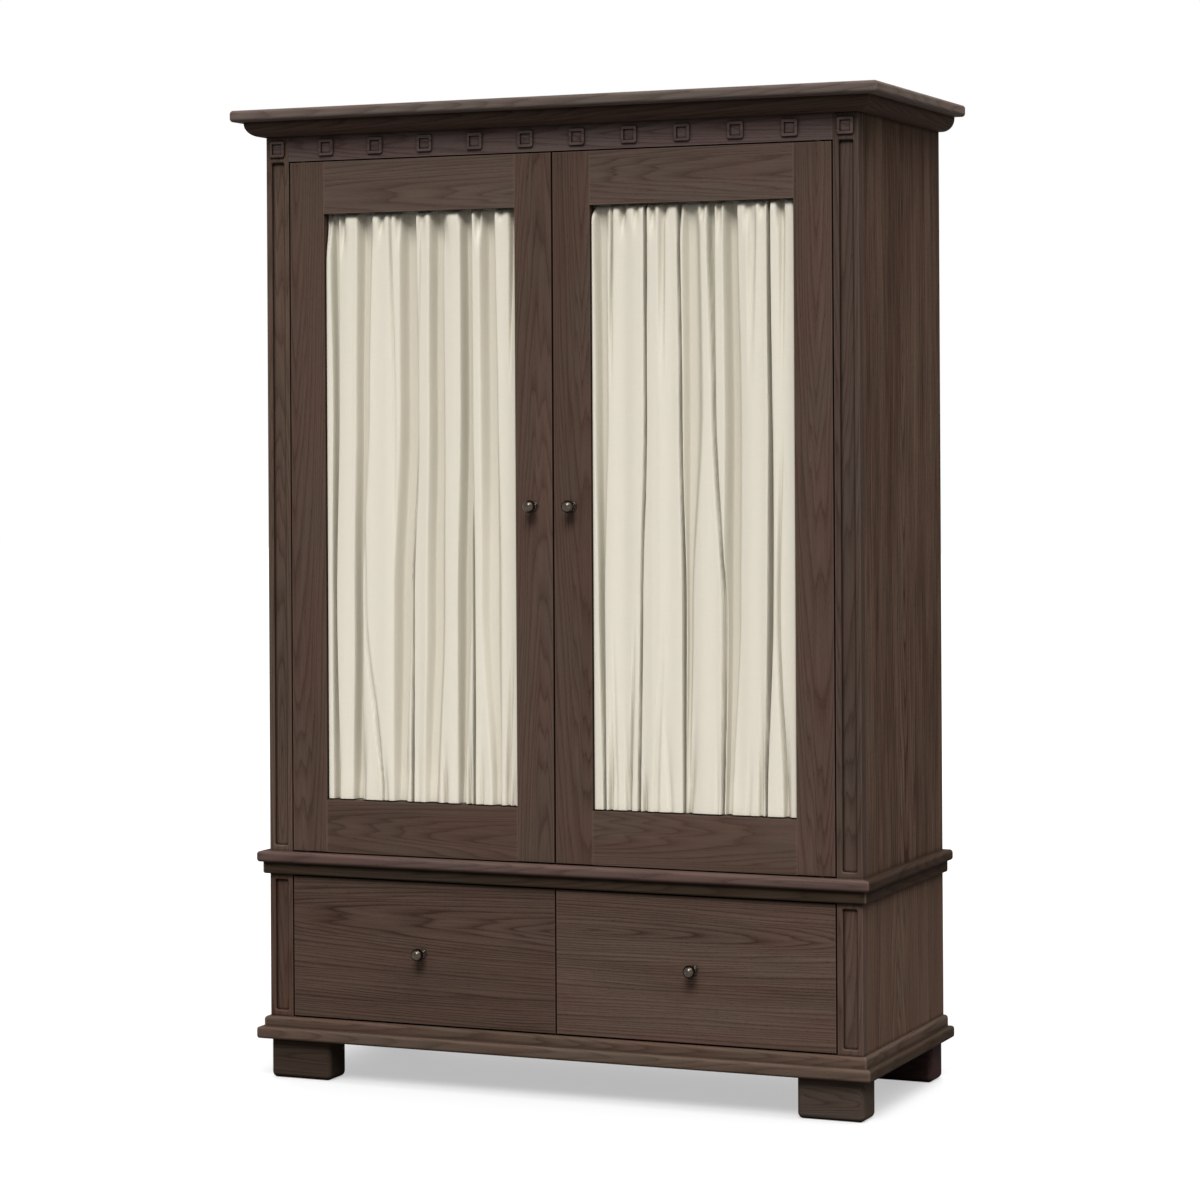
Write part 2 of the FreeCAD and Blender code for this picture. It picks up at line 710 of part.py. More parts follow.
def shankBore(body, face, height, middle):
    # The bore starts in the wood and runs out of its front face.
    cutRod(body, [middle, "(%s) + knob_shank_length" % face, height],
           "knob_shank_radius", "knob_shank_length + overrun", frontFacing)


def hook(label, sign, middle, height):
    # A small plate on the back of the stile with an eye for the curtain rod.
    lowX, width = across(sign, "(%s) - hook_width / 2" % middle, "(%s) + hook_width / 2" % middle)
    plate = plainBox(label + "_plate", [lowX, "door_back", height + " - hook_height / 2"],
                     [width, "hook_plate", "hook_height"])
    armX, armWidth = across(sign, "(%s) - hook_arm / 2" % middle, "(%s) + hook_arm / 2" % middle)
    arm = plainBox(label + "_arm", [armX, "door_back", height + " - hook_eye_radius / 2"],
                   [armWidth, "rod_standoff", "hook_eye_radius"])
    eye = turned(label + "_eye", "Cylinder", "hook_eye_radius", armWidth,
                 [armX, "rod_line", height], acrossFacing)
    bore = turned(label + "_bore", "Cylinder", "rod_radius + pivot_clearance",
                  "hook_width", ["(%s) - hook_arm / 2" % armX, "rod_line", height], acrossFacing)
    return hollow(label, joined(label + "_blank", [plate, arm, eye]), bore)


def foldLine(left, right, middle, swing, shares, depths):
    # Half-round folds side by side: each share is a fold's part of the width.
    points = [FreeCAD.Vector(left, middle, 0)]
    total = sum(shares)
    arcs = []
    start = left
    for number, (share, depth) in enumerate(zip(shares, depths)):
        end = start + (right - left) * share / total
        way = -1 if number % 2 == 0 else 1
        crest = FreeCAD.Vector((start + end) / 2, middle + way * swing * depth, 0)
        points.append(FreeCAD.Vector(end, middle, 0))
        arcs.append(Part.Arc(points[-2], crest, points[-1]).toShape())
        start = end
    return arcs


def clothSection(left, right, middle, swing, shares, depths, height):
    face = foldLine(left, right, middle, swing, shares, depths)
    rear = foldLine(left, right, middle + sheet.get("curtain_cloth"), swing, shares, depths)
    firstEnd = Part.LineSegment(rear[0].Vertexes[0].Point, face[0].Vertexes[0].Point).toShape()
    lastEnd = Part.LineSegment(face[-1].Vertexes[-1].Point, rear[-1].Vertexes[-1].Point).toShape()
    wire = Part.Wire(face + [lastEnd] + rear[::-1] + [firstEnd])
    wire.translate(FreeCAD.Vector(0, 0, height))
    return wire


# Widths of the curtain's folds at the top and at the bottom, as shares, and their depths as shares.
topFoldShares = (9, 8, 11, 9, 8, 10, 12, 8, 9, 11, 8, 10, 9, 12, 8, 9, 10, 8, 11, 9, 8, 10)
bottomFoldShares = (12, 9, 8, 13, 10, 8, 9, 12, 8, 10, 13, 8, 9, 10, 12, 9, 8, 13, 9, 8, 12, 10)
foldDepthShares = (0.8, 0.9, 1, 0.85, 0.9, 1, 0.75, 0.95, 1, 0.8, 0.9, 1, 0.85, 0.95, 0.9, 1, 0.8,
                   0.9, 1, 0.85, 0.95, 0.8)


def curtain(label, sign, stiles, topRod, bottomRod):
    # Gathered cloth between the door and its rods, from heading to heading.
    doc.recompute()
    inner, outer = stiles
    left = min(inner.Shape.BoundBox.XMax, outer.Shape.BoundBox.XMax)
    right = max(inner.Shape.BoundBox.XMin, outer.Shape.BoundBox.XMin)
    hem = sheet.get("hook_width")
    near = inner.Shape.BoundBox.YMax + sheet.get("curtain_clearance")
    far = topRod.Shape.BoundBox.YMin - sheet.get("curtain_clearance")
    swing = (far - near - sheet.get("curtain_cloth")) / 2
    low = bottomRod.Shape.BoundBox.ZMin - sheet.get("curtain_heading")
    high = topRod.Shape.BoundBox.ZMax + sheet.get("curtain_heading")
    top = topFoldShares if sign < 0 else topFoldShares[::-1]
    bottom = bottomFoldShares if sign < 0 else bottomFoldShares[::-1]
    wires = []
    for shares, height in ((bottom, low), (top, high)):
        wires.append(clothSection(left - hem / 2, right + hem / 2, near + swing, swing, shares,
                                  foldDepthShares, height))
    cloth = doc.addObject("Part::Feature", label)
    cloth.Label = label
    cloth.Shape = Part.makeLoft(wires, True, True)
    cloth.Placement = FreeCAD.Placement()
    return cloth


def door(side, sign):
    name = "door_%s_" % side
    outer = stile(name + "outer_stile", sign, "window_outer", "door_outer", True)
    line = ["%d * pivot_out" % sign, "pivot_in"]
    for low in ("door_low - overrun", "door_top - pivot_reach - running_gap"):
        cutRod(outer, line + [low], "pivot_radius + pivot_clearance",
               "pivot_reach + running_gap + overrun")
    inner = stile(name + "inner_stile", sign, "door_inner", "window_inner", False)
    knobX = "%d * (door_inner + stile_width / 2)" % sign
    shankBore(inner, "front", "door_knob_height", knobX)
    keep(outer)
    keep(inner)
    keep(doorRail(name + "top_rail", sign, "window_top"))
    keep(doorRail(name + "bottom_rail", sign, "door_low"))
    keep(knob(name + "knob", "front", "door_knob_height", knobX))
    rodX, rodWidth = across(sign, "window_inner - rod_beyond", "window_outer + rod_beyond")
    rods = []
    hooks = []
    for place, height in (("upper", "window_top + rod_above"), ("lower", "window_low - rod_above")):
        rods.append(turned("%s_rod_%s" % (place, side), "Cylinder", "rod_radius", rodWidth,
                           [rodX, "rod_line", height], acrossFacing))
        for end, middle in (("inner", "window_inner - rod_beyond / 2 - hook_arm / 2"),
                            ("outer", "window_outer + rod_beyond / 2 + hook_arm / 2")):
            hooks.append(hook("hook_%s_%s_%s" % (side, place, end), sign, middle, height))
    keep(group(name + "curtain_rods", rods))
    keep(group(name + "curtain_hooks", hooks))
    keep(curtain(name + "curtain", sign, (inner, outer), rods[0], rods[1]))
    plateX, plateWidth = across(sign, "catch_offset", "catch_offset + catch_width")
    keep(plainBox(name + "catch_plate",
                  [plateX, "door_back", "door_top - stop_overlap - catch_height"],
                  [plateWidth, "catch_plate_thickness", "catch_height"]))


def drawer(side, sign):
    name = "drawer_%s_" % side
    lowX, width = across(sign, "drawer_inner", "drawer_outer")
    frontLow = "drawer_floor + drawer_gap"
    face = board(name + "front", [lowX, "front", frontLow],
                 [width, "drawer_front_thickness", "waist_low - drawer_gap - (%s)" % frontLow])
    ease(face, "Fillet", "drawer_front_ease", ("front", "left"), ("front", "right"),
         ("front", "top"), ("front", "bottom"))
    wall = "drawer_side_thickness"
    slack = "joint_clearance"
    grooveLow = "box_low + drawer_bottom_lift"
    panelInner = "box_inner + %s - drawer_groove" % wall
    panelOuter = "box_outer - %s + drawer_groove" % wall
    grooveX, grooveWidth = across(sign, panelInner, panelOuter)
    groove = [grooveX + " - " + slack, "drawer_back - drawer_groove - " + slack,
              grooveLow + " - " + slack]
    grooveSize = [grooveWidth + " + 2 * " + slack, "box_end + overrun - drawer_back + drawer_groove",
                  "drawer_bottom_thickness + 2 * " + slack]
    cutBox(face, groove, grooveSize)
    knobX = "%d * drawer_middle" % sign
    knobZ = "(drawer_floor + waist_low) / 2"
    shankBore(face, "front", knobZ, knobX)
    keep(face)
    walls = []
    for place, inner, outer in (("inner", "box_inner", "box_inner + " + wall),
                                ("outer", "box_outer - " + wall, "box_outer")):
        wallX, wallWidth = across(sign, inner, outer)
        wallBoard = board("%s_%s_wall" % (side, place), [wallX, "drawer_back", "box_low"],
                          [wallWidth, "box_end - drawer_back", "drawer_side_height"])
        cutBox(wallBoard, groove, grooveSize)
        walls.append(wallBoard)
    keep(group(name + "sides", walls))
    backX, backWidth = across(sign, "box_inner + " + wall, "box_outer - " + wall)
    backLow = grooveLow + " + drawer_bottom_thickness"
    keep(plainBox(name + "back", [backX, "box_end - " + wall, backLow],
                  [backWidth, wall, "box_low + drawer_side_height - (%s)" % backLow]))
    panelX, panelWidth = across(sign, panelInner, panelOuter)
    keep(plainBox(name + "bottom", [panelX, "drawer_back - drawer_groove", grooveLow],
                  [panelWidth, "box_end - drawer_back + drawer_groove", "drawer_bottom_thickness"]))
    keep(knob(name + "knob", "front", knobZ, knobX))


def checkDocument():
    doc.recompute()
    for thing in doc.Objects:
        if "Invalid" in thing.State or "Error" in thing.State:
            raise RuntimeError("failed: " + thing.Label)
    for label, piece in subparts.items():
        if piece.Shape.isNull() or not piece.Shape.isValid():
            raise RuntimeError("bad shape: " + label)


def exportParts():
    os.makedirs("parts", exist_ok=True)
    for label, piece in subparts.items():
        piece.Shape.exportStep("parts/%s.step" % label)
        print("%-26s solids %2d  volume %.1f cm3" % (label, len(piece.Shape.Solids),
                                                    piece.Shape.Volume / 1000))
    print(len(subparts), "sub-parts")


fillSheet()
feet()
base()
chest()
runners()
waist()
wardrobe()
cornice()
squares()
inside()
stopsAndPins()
for side, sign in sides:
    door(side, sign)
    drawer(side, sign)
checkDocument()
exportParts()
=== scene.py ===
# Tall cabinet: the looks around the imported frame, in metres, with the doors facing -Y.
import json
import math

import bpy
import numpy as np
from mathutils import Matrix, Vector


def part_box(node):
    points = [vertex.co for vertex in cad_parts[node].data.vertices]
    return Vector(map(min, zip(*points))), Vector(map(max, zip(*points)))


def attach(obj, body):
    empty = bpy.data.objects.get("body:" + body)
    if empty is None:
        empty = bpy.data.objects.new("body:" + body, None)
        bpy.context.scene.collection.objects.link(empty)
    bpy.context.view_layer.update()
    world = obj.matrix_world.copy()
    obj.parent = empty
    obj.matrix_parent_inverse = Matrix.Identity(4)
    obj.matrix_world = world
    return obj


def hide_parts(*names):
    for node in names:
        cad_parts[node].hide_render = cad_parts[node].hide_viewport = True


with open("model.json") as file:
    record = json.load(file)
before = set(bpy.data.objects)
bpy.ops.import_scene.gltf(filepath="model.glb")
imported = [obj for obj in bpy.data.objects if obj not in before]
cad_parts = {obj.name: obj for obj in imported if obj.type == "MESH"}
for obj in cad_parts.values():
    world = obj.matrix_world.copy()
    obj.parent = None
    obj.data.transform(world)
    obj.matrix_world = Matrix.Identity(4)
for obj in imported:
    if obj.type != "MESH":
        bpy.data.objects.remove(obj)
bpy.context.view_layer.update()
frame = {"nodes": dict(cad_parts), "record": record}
print("frame loaded:", len(frame["nodes"]), "nodes")


def addNode(tree, kind, inputs=None, **settings):
    # One shader node. Settings are its properties; inputs are numbers, colours or other nodes' sockets.
    made = tree.nodes.new("ShaderNode" + kind)
    for name, value in settings.items():
        setattr(made, name, value)
    for key, value in (inputs or {}).items():
        if isinstance(value, bpy.types.NodeSocket):
            tree.links.new(value, made.inputs[key])
        else:
            made.inputs[key].default_value = value
    return made


def calc(tree, operation, *values, clamp=False):
    # One arithmetic step on numbers or sockets.
    inputs = dict(enumerate(values))
    return addNode(tree, "Math", inputs, operation=operation, use_clamp=clamp).outputs[0]


def blendNumbers(tree, share, low, high):
    # low + share * (high - low), for sockets.
    inputs = {0: share, 2: low, 3: high}
    return addNode(tree, "Mix", inputs, data_type="FLOAT").outputs[0]


def blendColours(tree, share, first, second, mode="MIX"):
    # The first colour, going to the second as the share goes from 0 to 1.
    inputs = {0: share, 6: first, 7: second}
    return addNode(tree, "Mix", inputs, data_type="RGBA", blend_type=mode).outputs[2]


def startMaterial(name):
    # An empty material with a Principled surface.
    material = bpy.data.materials.new(name)
    material.use_nodes = True
    tree = material.node_tree
    tree.nodes.clear()
    output = addNode(tree, "OutputMaterial")
    surface = addNode(tree, "BsdfPrincipled")
    tree.links.new(surface.outputs[0], output.inputs["Surface"])
    return material, tree, surface


def opaque(colour):
    # The colour with full opacity.
    return (*colour, 1.0)


# Woods. Lengths in metres, colours linear. The shares say how much each figure lightens or darkens, noise
# holds each figure's detail and roughness, and a start and a slope turn a noise into a clear edge.
oak = {
    "dark": (0.037, 0.0222, 0.0165),
    "middle": (0.0855, 0.0550, 0.0425),
    "light": (0.128, 0.0870, 0.0680),
    "pore": (0.020, 0.011, 0.008),
    "redder": (1.035, 0.98, 0.97),  # two hues of the stain, in soft patches
    "greener": (0.975, 1.01, 0.99),
    "hueSize": (0.060, 0.24),
    "hueDetail": 1.0,
    "hueStart": 0.35,
    "hueSlope": 3.3,
    "driftSize": (0.35, 0.6),  # the drift that makes all figures wander
    "driftDetail": 1.0,
    "wander": 0.007,
    "noise": {"band": (2.0, 0.55), "streak": (3.0, 0.6), "fibre": (2.0, 0.6), "pore": (1.0, 0.5)},
    "bandWidth": 0.040,
    "bandLength": 0.9,
    "bandShare": 0.34,
    "streakWidth": 0.0045,
    "streakLength": 0.20,
    "streakShare": 0.30,
    "fibreWidth": 0.0011,
    "fibreLength": 0.05,
    "fibreShare": 0.24,
    "level": 0.58,  # a plain board, from 0, dark, to 1, light
    "stops": (0.08, 0.5, 0.95),  # where dark, middle and light stand
    "ringWidth": 0.0058,
    "ringShare": 0.42,
    "ringTilt": 0.050,  # how far the heart line leaves the board's length
    "ringWave": 0.014,
    "ringBoost": 1.8,
    "ringFade": 3.0,  # powers of the fade after a ring's dark start and of the rise before the next
    "ringEdge": 14.0,
    "yearTurn": 190.0,  # wide and narrow years
    "yearSwing": 0.0022,
    "poreWidth": 0.0008,
    "poreLength": 0.011,
    "poreShare": 0.60,
    "poreStart": 0.42,
    "poreSlope": 12.0,
    "poreInRings": 0.65,  # how much the pores keep to the rings
    "poreRoughness": 0.15,
    "roughness": (0.52, 0.68),
    "bumpDepth": 0.00016,
    "bumpStrength": 0.6,
    "fibreHeight": 0.5,
    "ringHeight": 0.5,
    "specular": 0.002,
    "shadeAndStainReach": 0.009,  # painted shade in corners, with some stain gathered there
    "shadeAndStainSamples": 6,
    "shadeAndStainShare": 0.75,
    "shadeAndStainSlope": 1.6,
    "shadeAndStainDark": 0.6,
    "highlightAndWearReach": 0.0035,  # outer edges paler: painted highlight, with some rubbed wear
    "highlightAndWearSamples": 5,
    "highlightAndWearShare": 0.55,
    "highlightAndWearPale": 1.3,
}
postOak = dict(oak, shadeAndStainReach=0.006, shadeAndStainShare=1.1, highlightAndWearShare=0.8)
corniceOak = dict(oak, highlightAndWearShare=0.2)
squareOak = dict(oak, shadeAndStainReach=0.005, shadeAndStainShare=1.3, highlightAndWearReach=0.0015, highlightAndWearShare=0.25)
sideOak = dict(oak, streakWidth=0.0065, streakLength=0.15, streakShare=0.50, bandShare=0.42,
               bandWidth=0.055)

paleWood = dict(oak, dark=(0.30, 0.19, 0.10), middle=(0.46, 0.32, 0.19), light=(0.58, 0.43, 0.27),
                pore=(0.26, 0.16, 0.09), ringShare=0.34, ringWidth=0.0045, poreShare=0.35,
                roughness=(0.5, 0.65), specular=0.2, shadeAndStainShare=0.2)
backWood = dict(oak, dark=(0.045, 0.028, 0.020), middle=(0.088, 0.057, 0.042), light=(0.128, 0.087, 0.064),
                bandWidth=0.065, roughness=(0.58, 0.72), shadeAndStainShare=0.3)


def grainSpace(tree, grain, shift, body):
    # Coordinates (across, through, along the grain), moved by the board's own shift. For "round" the grain
    # runs along X at the front and turns to Y past the body's sides, with a mitre between. The last value is
    # 1 on such sides.
    place = addNode(tree, "TexCoord").outputs["Object"]
    moved = addNode(tree, "Mapping", {"Vector": place, "Location": shift}).outputs[0]
    x, y, z = addNode(tree, "SeparateXYZ", {0: moved}).outputs[:]
    if grain == "z":
        return x, y, z, None
    if grain == "zDeep":
        return y, x, z, None
    if grain == "x":
        return z, y, x, None
    if grain == "y":
        return z, x, y, None
    atX, atY, _ = addNode(tree, "SeparateXYZ", {0: place}).outputs[:]
    beyond = calc(tree, "SUBTRACT", calc(tree, "ABSOLUTE", atX), body["halfWidth"])
    ahead = calc(tree, "SUBTRACT", calc(tree, "MULTIPLY", atY, -1.0), -body["front"])
    ahead = calc(tree, "MAXIMUM", ahead, 0.0)
    turned = calc(tree, "GREATER_THAN", beyond, ahead)
    through = blendNumbers(tree, turned, y, x)
    along = blendNumbers(tree, turned, x, y)
    return z, through, along, turned


def stretchedNoise(tree, across, through, along, width, length, detail=2.0, roughness=0.5):
    # Noise whose features are about width across the grain and length along it.
    scaled = addNode(tree, "CombineXYZ", {
        0: calc(tree, "DIVIDE", across, width),
        1: calc(tree, "DIVIDE", through, width),
        2: calc(tree, "DIVIDE", along, length)}).outputs[0]
    inputs = {"Vector": scaled, "Scale": 1.0, "Detail": detail, "Roughness": roughness}
    return addNode(tree, "TexNoise", inputs).outputs[0]


def centred(tree, socket, share):
    # A 0 to 1 noise as a swing of plus or minus the share.
    return calc(tree, "MULTIPLY", calc(tree, "SUBTRACT", socket, 0.5), share * 2)


def nearness(tree, reach, samples, inside=False):
    # How much surface lies within reach: 0 in the open, 1 in a tight corner, or inside at a sharp edge.
    found = addNode(tree, "AmbientOcclusion", {"Distance": reach}, samples=samples, inside=inside)
    return calc(tree, "SUBTRACT", 1.0, found.outputs["AO"])


def addBump(tree, surface, height, look):
    # Turns a height into the surface's small relief.
    inputs = {"Height": height, "Distance": look["bumpDepth"], "Strength": look["bumpStrength"]}
    tree.links.new(addNode(tree, "Bump", inputs).outputs[0], surface.inputs["Normal"])


def growthRings(tree, across, through, along, bands, look):
    # The distance from a slightly tilted heart line gives the ring; each ring starts dark and fades. A slow
    # wave on that distance makes wide and narrow years, and the bands' noise makes the rings wander.
    tilted = calc(tree, "ADD", through, calc(tree, "MULTIPLY", along, look["ringTilt"]))
    squares = calc(tree, "ADD", calc(tree, "MULTIPLY", across, across),
                   calc(tree, "MULTIPLY", tilted, tilted))
    spread = calc(tree, "ADD", calc(tree, "SQRT", squares), centred(tree, bands, look["ringWave"]))
    wave = calc(tree, "SINE", calc(tree, "MULTIPLY", spread, look["yearTurn"]))
    years = calc(tree, "ADD", spread, calc(tree, "MULTIPLY", wave, look["yearSwing"]))
    turn = calc(tree, "FRACT", calc(tree, "DIVIDE", years, look["ringWidth"]))
    fading = calc(tree, "POWER", calc(tree, "SUBTRACT", 1.0, turn), look["ringFade"])
    return calc(tree, "ADD", fading, calc(tree, "POWER", turn, look["ringEdge"]))


def makeWood(name, look, grain, shift, tone, sideLightAndShade, strength, body):
    # Stained wood: broad bands, streaks, fibres and growth rings add up to one number, which picks the
    # colour from dark to light. Pores, thickest in the dark part of each ring, darken and dent it, the
    # streaks vary the sheen, painted shade with some gathered stain darkens the corners, and outer edges
    # are paler, a painted highlight with some rubbed wear. On the side lengths of the boards that run round
    # the body, painted light and shade darken or lighten the colour.
    material, tree, surface = startMaterial(name)
    across, through, along, turned = grainSpace(tree, grain, shift, body)
    drift = stretchedNoise(tree, across, through, along, *look["driftSize"], look["driftDetail"])
    across = calc(tree, "ADD", across, centred(tree, drift, look["wander"]))
    figures = {}
    for kind, (detail, roughness) in look["noise"].items():
        width, length = look[kind + "Width"], look[kind + "Length"]
        figures[kind] = stretchedNoise(tree, across, through, along, width, length, detail, roughness)
    bands, streaks, fibres, pores = figures.values()
    rings = growthRings(tree, across, through, along, bands, look)
    ringShare = look["ringBoost"] * strength * look["ringShare"]
    ringed = calc(tree, "MULTIPLY", rings, calc(tree, "MULTIPLY", streaks, ringShare))

    level = look["level"]
    for kind in ("band", "streak", "fibre"):
        level = calc(tree, "ADD", level, centred(tree, figures[kind], look[kind + "Share"] * strength))
    level = calc(tree, "SUBTRACT", level, ringed, clamp=True)
    ramp = addNode(tree, "ValToRGB", {0: level})
    stops = ramp.color_ramp.elements
    stops[0].color = opaque(np.array(look["dark"]) * tone)
    stops[1].color = opaque(np.array(look["light"]) * tone)
    stops[0].position, middleStop, stops[1].position = look["stops"]
    stops.new(middleStop).color = opaque(np.array(look["middle"]) * tone)
    hue = stretchedNoise(tree, across, through, along, *look["hueSize"], look["hueDetail"])
    hue = calc(tree, "MULTIPLY", calc(tree, "SUBTRACT", hue, look["hueStart"]), look["hueSlope"], clamp=True)
    stain = blendColours(tree, hue, opaque(look["redder"]), opaque(look["greener"]))
    colour = blendColours(tree, 1.0, ramp.outputs[0], stain, "MULTIPLY")
    poreShare = calc(tree, "SUBTRACT", look["poreStart"], pores)
    poreShare = calc(tree, "MULTIPLY", poreShare, look["poreSlope"], clamp=True)
    inRings = look["poreInRings"]
    crowding = calc(tree, "ADD", 1 - inRings, calc(tree, "MULTIPLY", rings, inRings))
    crowding = calc(tree, "MULTIPLY", crowding, look["poreShare"] * strength)
    poreShare = calc(tree, "MULTIPLY", poreShare, crowding)
    colour = blendColours(tree, poreShare, colour, opaque(look["pore"]))
    # Painted shade in corners and crevices, with some stain gathered there: darker where occlusion is high.
    corner = nearness(tree, look["shadeAndStainReach"], look["shadeAndStainSamples"])
    gathered = calc(tree, "MULTIPLY", corner, look["shadeAndStainShare"] * look["shadeAndStainSlope"], clamp=True)
    colour = blendColours(tree, gathered, colour, opaque(np.array(look["pore"]) * look["shadeAndStainDark"]))
    # Painted highlight on outer edges, with some rubbed wear: paler where inside occlusion finds a sharp
    # edge.
    edge = nearness(tree, look["highlightAndWearReach"], look["highlightAndWearSamples"], inside=True)
    edge = calc(tree, "MULTIPLY", edge, look["highlightAndWearShare"], clamp=True)
    colour = blendColours(tree, edge, colour, opaque(np.array(look["light"]) * look["highlightAndWearPale"]))
    # Painted light and shade: the side lengths of the boards that run round the body darker or lighter.
    if turned:
        sideLightAndShadeHere = blendColours(tree, turned, (1.0, 1.0, 1.0, 1.0), opaque(sideLightAndShade))
        colour = blendColours(tree, 1.0, colour, sideLightAndShadeHere, "MULTIPLY")
    tree.links.new(colour, surface.inputs["Base Color"])

    rough = blendNumbers(tree, streaks, look["roughness"][0], look["roughness"][1])
    rough = calc(tree, "ADD", rough, calc(tree, "MULTIPLY", poreShare, look["poreRoughness"]))
    tree.links.new(rough, surface.inputs["Roughness"])
    height = calc(tree, "SUBTRACT", calc(tree, "MULTIPLY", fibres, look["fibreHeight"]), poreShare)
    height = calc(tree, "SUBTRACT", height, calc(tree, "MULTIPLY", rings, look["ringHeight"]))
    addBump(tree, surface, height, look)
    surface.inputs["Specular IOR Level"].default_value = look["specular"]
    return material


# Metals: the worn colour comes in where a cloudy noise is above its start.
patina = {"detail": 4.0, "roughness": 0.6, "start": 0.42, "slope": 4.0, "bumpDepth": 0.00008,
          "bumpStrength": 0.5}
metals = {
    "aged_brass": {"colour": (0.062, 0.051, 0.042), "worn": (0.120, 0.101, 0.082), "wornShare": 0.35,
                   "roughness": (0.15, 0.30), "patch": 0.005},
    "pin_steel": {"colour": (0.030, 0.028, 0.026), "worn": (0.055, 0.050, 0.045), "wornShare": 0.4,
                  "roughness": (0.45, 0.6), "patch": 0.003},
    "steel": {"colour": (0.50, 0.50, 0.49), "worn": (0.62, 0.62, 0.60), "wornShare": 0.5,
              "roughness": (0.25, 0.42), "patch": 0.004},
    "plated_wire": {"colour": (0.42, 0.30, 0.14), "worn": (0.55, 0.42, 0.22), "wornShare": 0.5,
                    "roughness": (0.28, 0.45), "patch": 0.003},
}


def makeMetal(name, look, patina):
    # Metal with a cloudy patina: noise mixes the worn colour in and varies the roughness.
    material, tree, surface = startMaterial(name)
    place = addNode(tree, "TexCoord").outputs["Object"]
    inputs = {"Vector": place, "Scale": 1 / look["patch"], "Detail": patina["detail"],
              "Roughness": patina["roughness"]}
    clouds = addNode(tree, "TexNoise", inputs).outputs[0]
    share = calc(tree, "SUBTRACT", clouds, patina["start"])
    share = calc(tree, "MULTIPLY", share, patina["slope"] * look["wornShare"], clamp=True)
    tree.links.new(blendColours(tree, share, opaque(look["colour"]), opaque(look["worn"])),
                   surface.inputs["Base Color"])
    tree.links.new(blendNumbers(tree, clouds, look["roughness"][1], look["roughness"][0]),
                   surface.inputs["Roughness"])
    addBump(tree, surface, clouds, patina)
    surface.inputs["Metallic"].default_value = 1.0
    return material


# The brown plastic of the magnetic catches.
catchLook = {"colour": (0.050, 0.034, 0.026), "paler": (0.066, 0.046, 0.036), "roughness": (0.45, 0.6),
             "grain": 0.0006, "detail": 2.0, "bumpDepth": 0.00005, "bumpStrength": 0.5}


def makeCatchPlastic(name, look):
    # Moulded plastic: a fine sandblasted grain.
    material, tree, surface = startMaterial(name)
    place = addNode(tree, "TexCoord").outputs["Object"]
    inputs = {"Vector": place, "Scale": 1 / look["grain"], "Detail": look["detail"]}
    grain = addNode(tree, "TexNoise", inputs).outputs[0]
    tree.links.new(blendColours(tree, grain, opaque(look["colour"]), opaque(look["paler"])),
                   surface.inputs["Base Color"])
    tree.links.new(blendNumbers(tree, grain, *look["roughness"]), surface.inputs["Roughness"])
    addBump(tree, surface, grain, look)
    return material


# Where the boards that run round the body turn their grain from its front to its sides.
bodyEdges = {"halfWidth": 0.68, "front": -0.24}
# Which way the grain of each board runs; nodes not listed have it upright.
grainAlong = {
    "x": ("chest_rails", "frieze_rail", "frieze_squares", "hat_shelf", "door_stops", "foot_", "top_rail",
          "bottom_rail", "_front", "_back", "_bottom"),
    "y": ("shelf_battens", "drawer_runners", "chest_divider", "_sides"),
    "round": ("base_slab", "base_moulding", "waist_moulding", "waist_slab", "cornice_moulding",
              "cornice_slab"),
}


def grainOf(node):
    # The way of the grain in a node, from the words in its name.
    if node in ("chest_back", "upper_back"):
        return "z"
    if "side_" in node and not node.startswith("drawer"):
        return "zDeep"
    for grain, words in grainAlong.items():
        if any(word in node for word in words):
            return grain
    return "z"


slotOf = {part["node"]: part["material_slot"] for part in frame["record"]["subparts"]}
woods = {"stained_wood": oak, "drawer_wood": paleWood, "back_board": backWood}
lookOf = {"_post_": postOak, "squares": squareOak, "upper_side": sideOak, "chest_side": sideOak,
          "cornice": corniceOak}
# How much stain each board took, and painted shade on boards that stand in shade, as the waist
# moulding under its slab and the feet: factors on the wood's colours. The first name that fits a node counts.
stainAndShadeOf = {
    "drawer_left_front": 0.97,
    "drawer_right_front": 1.11,
    "cornice_slab": (1.44, 1.74, 1.95),
    "waist_slab": (1.13, 1.14, 1.28),
    "base_slab": (1.10, 1.18, 1.15),
    "cornice_moulding": (0.98, 0.98, 0.97),
    # Painted shade: the waist moulding stands in the shadow of the slab above it.
    "waist_moulding": (0.47, 0.51, 0.46),
    "base_moulding": (1.04, 1.06, 1.02),
    "frieze": (1.18, 1.30, 1.54),
    "upper_post_left": (1.03, 1.08, 1.05),
    "upper_post_right": (0.89, 0.97, 0.99),
    "chest_post_left": (0.82, 0.76, 0.73),
    # Painted shade: the feet stand in the shade under the body.
    "foot_front_left": (0.54, 0.58, 0.56),
    "foot_front_right": (0.78, 0.89, 0.92),
    "foot_back": (0.57, 0.54, 0.65),
    "chest_side": (1.31, 1.27, 1.18),
    "upper_side": (1.26, 1.22, 1.14),
    "top_rail": (1.18, 1.29, 1.35),
}
# Painted light and shade on the side lengths of the boards that run round the body: factors that darken
# or lighten them as the light falls there.
sideLightAndShadeOf = {
    "waist_slab": (0.44, 0.44, 0.38),
    "base_slab": (0.51, 0.505, 0.495),
    "waist_moulding": (1.07, 0.97, 1.0),
    "base_moulding": (0.92, 0.96, 0.98),
    "cornice_slab": (1.23, 1.23, 1.20),
    "cornice_moulding": (0.985, 1.0, 0.96),
}
